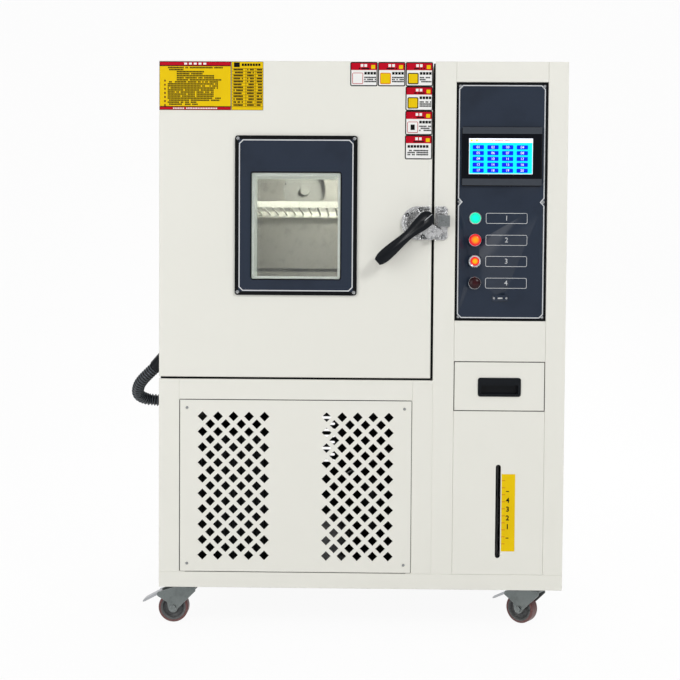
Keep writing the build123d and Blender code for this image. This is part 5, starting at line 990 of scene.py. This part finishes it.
number_piece(
    "lamp_numbers",
    [(str(number), (box_left + box_right) / 2, height) for number, height in enumerate(lamp_heights, 1)],
    17, panel_face, "silver_print",
)
socket_mouth = box_outline(socket_x - 6, socket_up - 1.7, socket_x + 6, socket_up + 1.7, 1.0, 3)
flat_piece("socket_mouth", [(socket_mouth, 4.2, 6.5)], "silver_print", "cabinet")
print("panel face at", panel_face, "mm")

# %% [markdown]
# ## Repeats from a tree of nodes
# Keys on the display, dashes on a label and marks on a scale are one shape in rows and columns. One
# Geometry Nodes tree makes them all: two mesh lines give the grid, a random choice can leave some
# out, and a small block is set on each point that is left.

# %% The grid tree


def geometry_tree(name, measures, counts):
    """An empty Geometry Nodes tree with named inputs."""
    tree = bpy.data.node_groups.new(name, "GeometryNodeTree")
    kinds = {"Geometry": "Geometry", "Finish": "Material"}
    kinds.update({label: "Float" for label in measures})
    kinds.update({label: "Int" for label in counts})
    for label, kind in kinds.items():
        tree.interface.new_socket(label, in_out="INPUT", socket_type="NodeSocket" + kind)
    tree.interface.new_socket("Geometry", in_out="OUTPUT", socket_type="NodeSocketGeometry")
    return tree, tree.nodes.new("NodeGroupInput").outputs


def end_tree(tree, given, points, **instance):
    """Sets a shape on points, makes the copies real and gives them their finish."""
    copies = made(tree, "GeometryNodeInstanceOnPoints", Points=points, **instance)["Instances"]
    real = made(tree, "GeometryNodeRealizeInstances", copies)["Geometry"]
    done = made(tree, "GeometryNodeSetMaterial", Geometry=real, Material=given["Finish"])["Geometry"]
    made(tree, "NodeGroupOutput", Geometry=done)


grid_tree, given = geometry_tree(
    "rows_and_columns",
    ["Column Pitch", "Row Pitch", "Block Width", "Block Height", "Relief", "Kept Share"],
    ["Columns", "Rows", "Seed"],
)
down = maths(grid_tree, "MULTIPLY", given["Row Pitch"], -1.0)
row_step = made(grid_tree, "ShaderNodeCombineXYZ", Z=down)[0]
column_step = made(grid_tree, "ShaderNodeCombineXYZ", X=given["Column Pitch"])[0]
points = given["Geometry"]
for count, step in (("Rows", row_step), ("Columns", column_step)):
    marks = made(grid_tree, "GeometryNodeMeshLine", Count=given[count], Offset=step)["Mesh"]
    spread = made(grid_tree, "GeometryNodeInstanceOnPoints", Points=points, Instance=marks)["Instances"]
    points = made(grid_tree, "GeometryNodeRealizeInstances", spread)["Geometry"]
chance = made(
    grid_tree, "FunctionNodeRandomValue", data_type="BOOLEAN",
    Seed=given["Seed"], Probability=given["Kept Share"],
)[3]
block_size = made(
    grid_tree, "ShaderNodeCombineXYZ", given["Block Width"], given["Relief"], given["Block Height"]
)[0]
block = made(grid_tree, "GeometryNodeMeshCube", Size=block_size)["Mesh"]
end_tree(grid_tree, given, points, Selection=chance, Instance=block)


def grown_piece(name, tree, places, settings, body, facing=None):
    """Runs a tree on points, which may face a way, and keeps the result as a plain object."""
    seeds = bpy.data.meshes.new("places")
    seeds.from_pydata([tuple(place) for place in places], [], [])
    if facing:
        ways = seeds.attributes.new("facing", "FLOAT_VECTOR", "POINT")
        ways.data.foreach_set("vector", list(facing) * len(places))
    holder = added(name + "_seed", seeds)
    modifier = holder.modifiers.new("grow", "NODES")
    modifier.node_group = tree
    for socket in tree.interface.items_tree:
        if socket.in_out == "INPUT" and socket.name in settings:
            modifier[socket.identifier] = settings[socket.name]
    mesh = evaluated_mesh(holder)
    mesh.name = name
    finished_piece(name, mesh, (), body)


def grid_piece(name, corner, columns, rows, pitches, block, face, look, body, share=1.0, seed=1):
    """Blocks in rows and columns from an upper left corner, lying on a face. Sizes in millimetres."""
    settings = {
        "Columns": columns, "Rows": rows, "Column Pitch": pitches[0] * MM, "Row Pitch": pitches[1] * MM,
        "Block Width": block[0] * MM, "Block Height": block[1] * MM, "Relief": PRINT * MM,
        "Kept Share": share, "Seed": seed, "Finish": finishes[look],
    }
    first = at(corner[0] + block[0] / 2, corner[1] - block[1] / 2, face - PRINT / 2)
    grown_piece(name, grid_tree, [first], settings, body)


print("grid tree has", len(grid_tree.nodes), "nodes")

# %% [markdown]
# ## The lit display
# The screen shows a white strip over a light blue field with four columns of blue keys. The display
# shines a little by itself, as a lit panel does, and grey bands close the bezel above and below it.

# %% Display
for name, tone, strength in (
    ("display_field", (0.02, 0.84, 0.97), 0.5),
    ("display_white", (0.95, 0.96, 0.98), 0.45),
    ("display_key", (0.0, 0.12, 0.9), 0.5),
    ("display_mark", (0.98, 0.83, 0.15), 0.4),
    ("display_red", (0.95, 0.45, 0.5), 0.3),
):
    tone = colour(*tone)
    finish(name, tone, tone, 0.3, grain=0.0004, patch=0.02, share=0.0, bump=0.01, specular=0.2)
    shine(name, tone, strength)

display_edges = (751.0, 1014.5, 905.0, 1100.5)
display_face = -1.5
first_print = display_face - PRINT
second_print = display_face - 2 * PRINT
title_low = 1090.4
key_left = 760.0
key_top = 1084.2
key_pitch = 35.4
key_step = 14.0
key_width = 27.0
key_height = 9.8
display_outline = box_outline(*display_edges)
title_edges = shrunk(display_edges, 0.5)
title_outline = box_outline(title_edges[0], title_low, *title_edges[2:])
key_corners = [
    (key_left + key_pitch * column, key_top - key_step * row) for row in range(5) for column in range(4)
]
key_outlines = [box_outline(x, top - key_height, x + key_width, top, 1.6, 4) for x, top in key_corners]
bezel_edges, bezel_face = face_of("touch_screen")
bezel_left, bezel_low, bezel_right, bezel_high = shrunk(bezel_edges, 1.0)
bezel_outlines = [
    box_outline(bezel_left, middle - 8, bezel_right, middle + 8)
    for middle in (bezel_high - 8.5, bezel_low + 8.5)
]


def screen_piece(name, parts, look):
    """Flat printing on the screen."""
    flat_piece(name, parts, look, "cabinet")


screen_piece("display_field", [(display_outline, first_print, display_face)], "display_field")
screen_piece("display_title", [(title_outline, second_print, first_print)], "display_white")
grid_piece(
    "display_marks", (755, 1097.6), 2, 1, (12.5, 0), (4.6, 4.6), second_print, "display_mark",
    "cabinet",
)
grid_piece(
    "display_title_dashes", (807, 1096.6), 13, 1, (3.3, 0), (2.2, 2.6), second_print - PRINT, "display_red",
    "cabinet", share=0.85, seed=6,
)
screen_piece("display_edge", [(display_outline, second_print, first_print, 1.3)], "display_white")
screen_piece("display_keys", [(key, second_print, first_print) for key in key_outlines], "display_key")
key_middles = [(x + key_width / 2, top - key_height / 2) for x, top in key_corners]
key_numbers = [(f"{number:02d}", *middle) for number, middle in enumerate(key_middles, 1)]
number_piece("display_key_numbers", key_numbers, 8.4, second_print, "display_white")
bezel_bands = [(outline, bezel_face - PRINT, bezel_face) for outline in bezel_outlines]
screen_piece("bezel_bands", bezel_bands, "bezel_grey")
print("display keys", len(key_corners))

# %% [markdown]
# ## Plates on the door
# Stickers are thin plates. Their colours, sizes and places are real, but they carry no words or signs:
# rows of small dashes stand where text would be.

# %% Door plates
STICKER = 0.3
door_edges, door_face = face_of("door_shell")


def plate(name, edges, look, layer=0, corner=0.0, body="door", face=door_face):
    """A thin plate lying on a face, in layers."""
    back = face - STICKER * layer
    flat_piece(name, [(box_outline(*edges, corner, 5), back - STICKER, back)], look, body)


def outlined(name, edges, width, layer=1):
    """A thin black line along the inside of a plate's edge."""
    face = door_face - STICKER * layer
    flat_piece(name, [(box_outline(*edges), face - PRINT, face, width)], "black_print", "door")


def dashes(name, corner, columns, rows, pitches, block, look, layer=1, share=1.0, seed=1):
    """Dashes on a layer of the door's plates."""
    face = door_face - STICKER * layer
    grid_piece(name, corner, columns, rows, pitches, block, face, look, "door", share=share, seed=seed)


notes_left, notes_right = 0.9, 174.6
table_left, table_right = 175.6, 252.6
plates_low, plates_high = 1166.0, 1282.6
head_low = plates_high - 10.6
foot_high = plates_low + 8.4
notes_edges = (notes_left, plates_low, notes_right, plates_high)
head_edges = (notes_left, head_low, notes_right, plates_high)
foot_edges = (notes_left, plates_low, notes_right, foot_high)
table_edges = (table_left, plates_low, table_right, plates_high)
plate("notes_plate", notes_edges, "yellow_label")
plate("notes_plate_head", head_edges, "red_label", 1)
plate("notes_plate_foot", foot_edges, "red_label", 1)
plate("table_plate", table_edges, "yellow_label")
outlined("notes_head_edge", head_edges, 1.2, 2)
outlined("notes_foot_edge", foot_edges, 1.1, 2)
outlined("notes_edge", (notes_left, foot_high, notes_right, head_low), 0.7)
outlined("table_edge", table_edges, 0.7)
dashes("notes_head_dashes", (61, 1279.6), 5, 1, (11.6, 0), (7, 4.6), "white_label", 2)
dashes("notes_foot_dashes", (34, 1171.6), 27, 1, (4, 0), (2.9, 3.0), "white_label", 2, 0.9, 4)
text_top = 1269.6
text_step = 4.9
for letter, left, columns, rows, share in (
    ("a", 22.0, 38, 1, 0.86), ("b", 24.5, 10, 1, 0.9), ("c", 43.0, 19, 2, 0.92), ("d", 43.0, 26, 2, 0.9),
    ("e", 43.0, 31, 1, 0.9), ("f", 21.0, 35, 4, 0.92), ("g", 21.0, 32, 4, 0.92), ("h", 21.0, 37, 2, 0.9),
    ("i", 21.0, 21, 2, 0.88),
):
    dashes(
        "notes_dashes_" + letter, (left, text_top), columns, rows, (3.5, text_step), (2.8, 3.5),
        "brown_print", 1, share, ord(letter),
    )
    text_top -= text_step * rows
dashes("notes_numerals", (12.5, 1238.5), 1, 7, (0, 9.8), (3.8, 4.4), "scale_brown")
table_rows = 13
table_step = 7.1
table_top = 1267.0
for name, left, columns in (("left", 5, 7), ("middle", 38, 5), ("right", 61, 4)):
    dashes(
        f"table_{name}_dashes", (table_left + left, table_top - 1.7), columns, table_rows, (3.3, table_step),
        (2.9, 3.8), "brown_print", 1, 0.88, len(name),
    )
across = (table_right - table_left - 2, 0.9)
down = (0.9, table_rows * table_step)
dashes("table_rules", (table_left + 1, table_top), 1, table_rows + 1, (0, table_step), across, "scale_brown")
dashes("table_columns", (table_left + 34.5, table_top), 2, 1, (22.5, 0), down, "scale_brown")
plate("table_head_block", (table_left + 6, 1269.5, table_left + 20, 1280.6), "black_print", 1)
dashes("table_head_dashes", (table_left + 25, 1278.0), 7, 1, (6.6, 0), (5.2, 5.8), "black_print", 1, 0.9, 5)

card_width = 66.0
card_height = 58.2
card_head = 19.5
card_corner = 4.0
card_line = 2.6
cards = [
    (462.9, 1282.9, "white_label", "red_label"),
    (529.9, 1282.9, "yellow_label", "orange_print"),
    (596.8, 1282.9, "yellow_label", "black_print"),
    (596.7, 1224.5, "yellow_label", "black_print"),
    (596.5, 1166.1, "white_label", "red_label"),
    (596.2, 1107.7, None, None),
]
for number, (left, top, paper_look, rim_look) in enumerate(cards, 1):
    card = f"card_{number}_"
    edges = (left, top - card_height, left + card_width, top)
    inner = shrunk(edges, card_line)
    plate(card + "edge", edges, "black_print", 0, card_corner)
    plate(card + "paper", inner, "white_label", 1, card_corner - card_line)
    plate(card + "head", (inner[0], top - card_head, inner[2], inner[3]), "red_label", 2)
    mark = (left + card_width - 15.5, top - 16.5, left + card_width - 6, top - 7.5)
    plate(card + "mark", mark, "yellow_label", 3, 1.5)
    right, count = (34, 4) if paper_look else (6.5, 7)
    for name, x, down, columns, rows, pitches, block, look, layer, share, seed in (
        ("head_dashes", 25, 5.4, 2, 1, (9.0, 0), (6.4, 6.6), "white_label", 3, 1.0, 1),
        ("head_shade", 20.5, 14.2, 8, 1, (3.2, 0), (3.0, 3.2), "black_print", 3, 0.9, 60 + number),
        ("bold", right, 24.0, count, 1, (7.4, 0), (6.0, 6.2), "black_print", 2, 1.0, 1),
        ("dashes", right, 35.5, 2 * count, 3, (3.6, 4.9), (3.0, 3.2), "black_print", 2, 0.82, 20 + number),
    ):
        dashes(card + name, (left + x, top - down), columns, rows, pitches, block, look, layer, share, seed)
    if paper_look:
        badge = (left + 5, top - 53, left + 31, top - 26)
        plate(card + "badge_rim", badge, rim_look, 2, 3)
        plate(card + "badge", shrunk(badge, 1.4 if rim_look == "red_label" else 2.4), paper_look, 3, 1.2)
patch_left, patch_top = cards[4][0] + 13, cards[4][1] - 33
plate("card_5_patch", (patch_left, patch_top - 13, patch_left + 10, patch_top), "black_print", 4, 1)
print("cards", len(cards))

# %% [markdown]
# ## Water scale
# A yellow scale with red marks and four numbers stands beside the level tube, on the column's face. A
# black sheet of painted shade on the tank behind it makes the slot read as deep.

# %% Water scale
column_face = face_of("column_panels")[1]
tank_face = face_of("water_tank")[1]
scale_left = 839.5
scale_high = 286.0
scale_face = column_face - STICKER
number_step = 21.6
plate("water_scale", (scale_left, 96.0, 872.5, scale_high), "yellow_label", body="cabinet", face=column_face)
grid_piece(
    "water_scale_marks", (scale_left + 0.6, scale_high - 15.6), 1, 10, (0, 17.25), (8, 1.1), scale_face,
    "red_label", "cabinet",
)
number_piece(
    "water_scale_numbers",
    [(str(4 - step), scale_left + 15.0, 221.0 - number_step * step) for step in range(4)],
    17, scale_face, "black_print", bold=0.45,
)
grid_piece(
    "water_scale_dashes", (scale_left + 11.0, 244.5), 1, 2, (0, 114.6), (7, 2.2), scale_face,
    "black_print", "cabinet",
)
# A black sheet of painted shade on the tank's face.
flat_piece(
    "tank_slot_shade", [(box_outline(817, 88, 845, 402), tank_face - 1.0, tank_face)],
    "black_print", "cabinet",
)
print("column face", round(column_face, 1), "mm")

# %% [markdown]
# ## Screws
# Panel screws are small domed heads with a cross. A tree makes one head from a low cone less two bars,
# sets it on each marked point, turns it along the way that the point faces, and then by a random
# angle, because no two screws stop at the same turn.

# %% The screw tree
screw_tree, given = geometry_tree("cross_head_screws", ["Head Diameter", "Head Height"], ["Seed"])
height = given["Head Height"]


def share_of_head(share):
    """A share of the head's diameter."""
    return maths(screw_tree, "MULTIPLY", given["Head Diameter"], share)


head = made(
    screw_tree, "GeometryNodeMeshCone",
    Vertices=20, Radius_Top=share_of_head(0.34), Radius_Bottom=share_of_head(0.5), Depth=height,
)["Mesh"]
cut = made(screw_tree, "GeometryNodeMeshBoolean", operation="DIFFERENCE", Mesh_1=head)["Mesh"]
lift = made(screw_tree, "ShaderNodeCombineXYZ", Z=height)[0]
for shares in ((0.52, 0.13), (0.13, 0.52)):
    bar_size = made(screw_tree, "ShaderNodeCombineXYZ", *map(share_of_head, shares), height)[0]
    bar = made(screw_tree, "GeometryNodeMeshCube", Size=bar_size)["Mesh"]
    raised = made(screw_tree, "GeometryNodeTransform", Geometry=bar, Translation=lift)["Geometry"]
    feed(screw_tree, cut.node, Mesh_2=raised)
way = made(screw_tree, "GeometryNodeInputNamedAttribute", data_type="FLOAT_VECTOR", Name="facing")[0]
aligned = made(screw_tree, "FunctionNodeAlignRotationToVector", axis="Z", Vector=way)["Rotation"]
quarter = made(
    screw_tree, "FunctionNodeRandomValue", None, None, None, math.pi / 2,
    data_type="FLOAT", Seed=given["Seed"],
)[1]
spin = made(screw_tree, "FunctionNodeAxisAngleToRotation", Axis=(0, 0, 1), Angle=quarter)["Rotation"]
turned_head = made(
    screw_tree, "FunctionNodeRotateRotation", rotation_space="LOCAL", Rotation=aligned, Rotate_By=spin
)["Rotation"]
end_tree(screw_tree, given, given["Geometry"], Instance=cut, Rotation=turned_head)
print("screw tree has", len(screw_tree.nodes), "nodes")

# %% [markdown]
# Each row of the table is one group of screws: its points, the size of a head, its finish and the body
# that carries it. All face forward. A head is centred on its point, so half of it is sunk.

# %% Screws
FORWARD = (0, -1, 0)


def corners_of(edges, depth, margin, more=()):
    """Points near a plate's corners, and at more heights along its sides."""
    left, low, right, high = shrunk(edges, margin)
    return [at(x, z, depth) for x in (left, right) for z in (low, *more, high)]


keeper_x = face_of("strike_keeper")[0][0] + 20.5
grille_edges, grille_face = face_of("grille_panel")
grille_points = corners_of((69, 59, 601, 443), grille_face - 0.8, 0)
panel_points = corners_of(panel_edges, panel_face - 0.8, 9.0, [panel_screw_up])
window_points = corners_of(window_edges, window_face - 0.8, 7.4)
latch_points = [at(x, z, -4.2) for x, z in latch_screws]
keeper_points = [at(keeper_x, latch_middle_up + lift, -5.0) for lift in (31.5, -31.5)]
socket_points = [at(socket_x + shift, socket_up, panel_face - 0.6) for shift in (-15, 15)]
screw_rows = [
    ("grille", grille_points, 7.0, 2.0, "dark_zinc", "cabinet"),
    ("panel", panel_points, 8.0, 2.2, "turned_steel", "cabinet"),
    ("window", window_points, 9.2, 2.6, "turned_steel", "door"),
    ("latch", latch_points, 6.6, 2.6, "turned_steel", "door"),
    ("keeper", keeper_points, 8.6, 2.4, "turned_steel", "cabinet"),
    ("socket", socket_points, 6.2, 1.8, "silver_print", "cabinet"),
]
for seed, (name, places, diameter, rise, look, body) in enumerate(screw_rows, 2):
    settings = {
        "Head Diameter": diameter * MM, "Head Height": rise * MM, "Seed": seed, "Finish": finishes[look],
    }
    grown_piece(name + "_screws", screw_tree, places, settings, body, FORWARD)
print("screws", sum(len(row[1]) for row in screw_rows))

# %% [markdown]
# ## Painted highlight on the lever
# The lever's moulding has a groove along its head, which catches the light. A pale strip in it is a painted
# highlight.

# %% Lever line
lever_angle = math.radians(221.4)
lever_pivot = Vector(((0.178 - left_edge) / MM, (1.007 - underside) / MM))
along = Vector((math.cos(lever_angle), math.sin(lever_angle)))
half_width = Vector((-along.y, along.x)) * 0.6
near = lever_pivot - along * 17.5
far = lever_pivot + along * 5.0
lever_front = face_of("latch_lever")[1]
line_corners = (near - half_width, far - half_width, far + half_width, near + half_width)
# The pale strip is a painted highlight.
flat_piece(
    "lever_painted_highlight", [(line_corners, lever_front + 0.4, lever_front + 1.6)],
    "silver_print", "latch_lever",
)
print("lever front at", round(lever_front, 1), "mm")

# %% [markdown]
# ## Painted shade in the gaps
# Black strips of painted shade fill the gaps that stay open between the panels: round the door's free
# sides, behind the ventilation panel's edges and round the drawer's front. They make the gaps read as
# dark lines, as in the photograph.

# %% Gap shade
gap_front = 3.0
gap_back = 5.5
grille_shade_front = 2.2
gap_shade_reach = 5.7
gap_shade_drop = 4.2
gap_shade_top_width = 3.6
door_bottom, door_right, door_top = door_edges[1:]
# The door's strips are painted shade in its gap.
side_gap_shade = [
    (door_right + 0.1, door_bottom), (door_right + gap_shade_reach, door_bottom),
    (door_right + gap_shade_reach, door_top - 5), (door_right + gap_shade_reach - gap_shade_top_width, door_top - 5),
]
low_gap_shade = box_outline(4, door_bottom - gap_shade_drop, door_right, door_bottom - 0.1)
door_gap_shades = [(side_gap_shade, gap_front, gap_back), (low_gap_shade, gap_front, gap_back)]
flat_piece("door_gap_shade", door_gap_shades, "soft_black", "door")
left, bottom, right, top = grille_edges
strips = (
    (left - 1.9, bottom, left - 0.1, top), (right + 0.1, bottom, right + 1.2, top),
    (left, top + 0.1, right, top + 1.5), (left, bottom - 0.8, right, bottom - 0.1),
)
# The grille's strips are painted shade in its gaps.
foam = [(box_outline(*strip), grille_shade_front, gap_back) for strip in strips]
flat_piece("grille_gap_shade", foam, "soft_black", "cabinet")
# The drawer's line is painted shade in its gap.
drawer_edge = inset(box_outline(*face_of("drawer_front")[0]), -1.85)
flat_piece("drawer_gap_shade", [(drawer_edge, 2.0, 4.5, 1.75)], "soft_black", "drawer")
print("gaps closed, lip", gap_shade_reach, "mm")

# %% [markdown]
# ## Lamp inside the test space
# The light button is lit, so the chamber's own lamp is on. A small warm light under its glass dome and
# a strip of light along the opening make the shelf and the walls show through the window.

# %% Chamber light


def chamber_light(name, kind, place, watts):
    """A small warm light that is itself not seen."""
    data = bpy.data.lights.new(name, kind)
    data.energy = watts
    data.color = (1.0, 0.97, 0.9)
    light = added(name, data)
    light.location = place
    light.visible_camera = light.visible_transmission = light.visible_glossy = False
    return data


dome_low, dome_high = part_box("chamber_lamp")
dome_middle = (dome_low + dome_high) / 2
shelf_low, shelf_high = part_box("shelf")
bulb_place = (dome_middle.x, dome_middle.y, dome_low.z - 45 * MM)
mouth_place = ((shelf_low.x + shelf_high.x) / 2, shelf_low.y - 10 * MM, 1.1)
chamber_light("lamp_bulb", "POINT", bulb_place, 8.5).shadow_soft_size = 0.03
strip_light = chamber_light("mouth_light", "AREA", mouth_place, 2.4)
strip_light.shape = "RECTANGLE"
strip_light.size = 0.34
strip_light.size_y = 0.012
print("lamp dome at", [round(value, 3) for value in dome_middle])
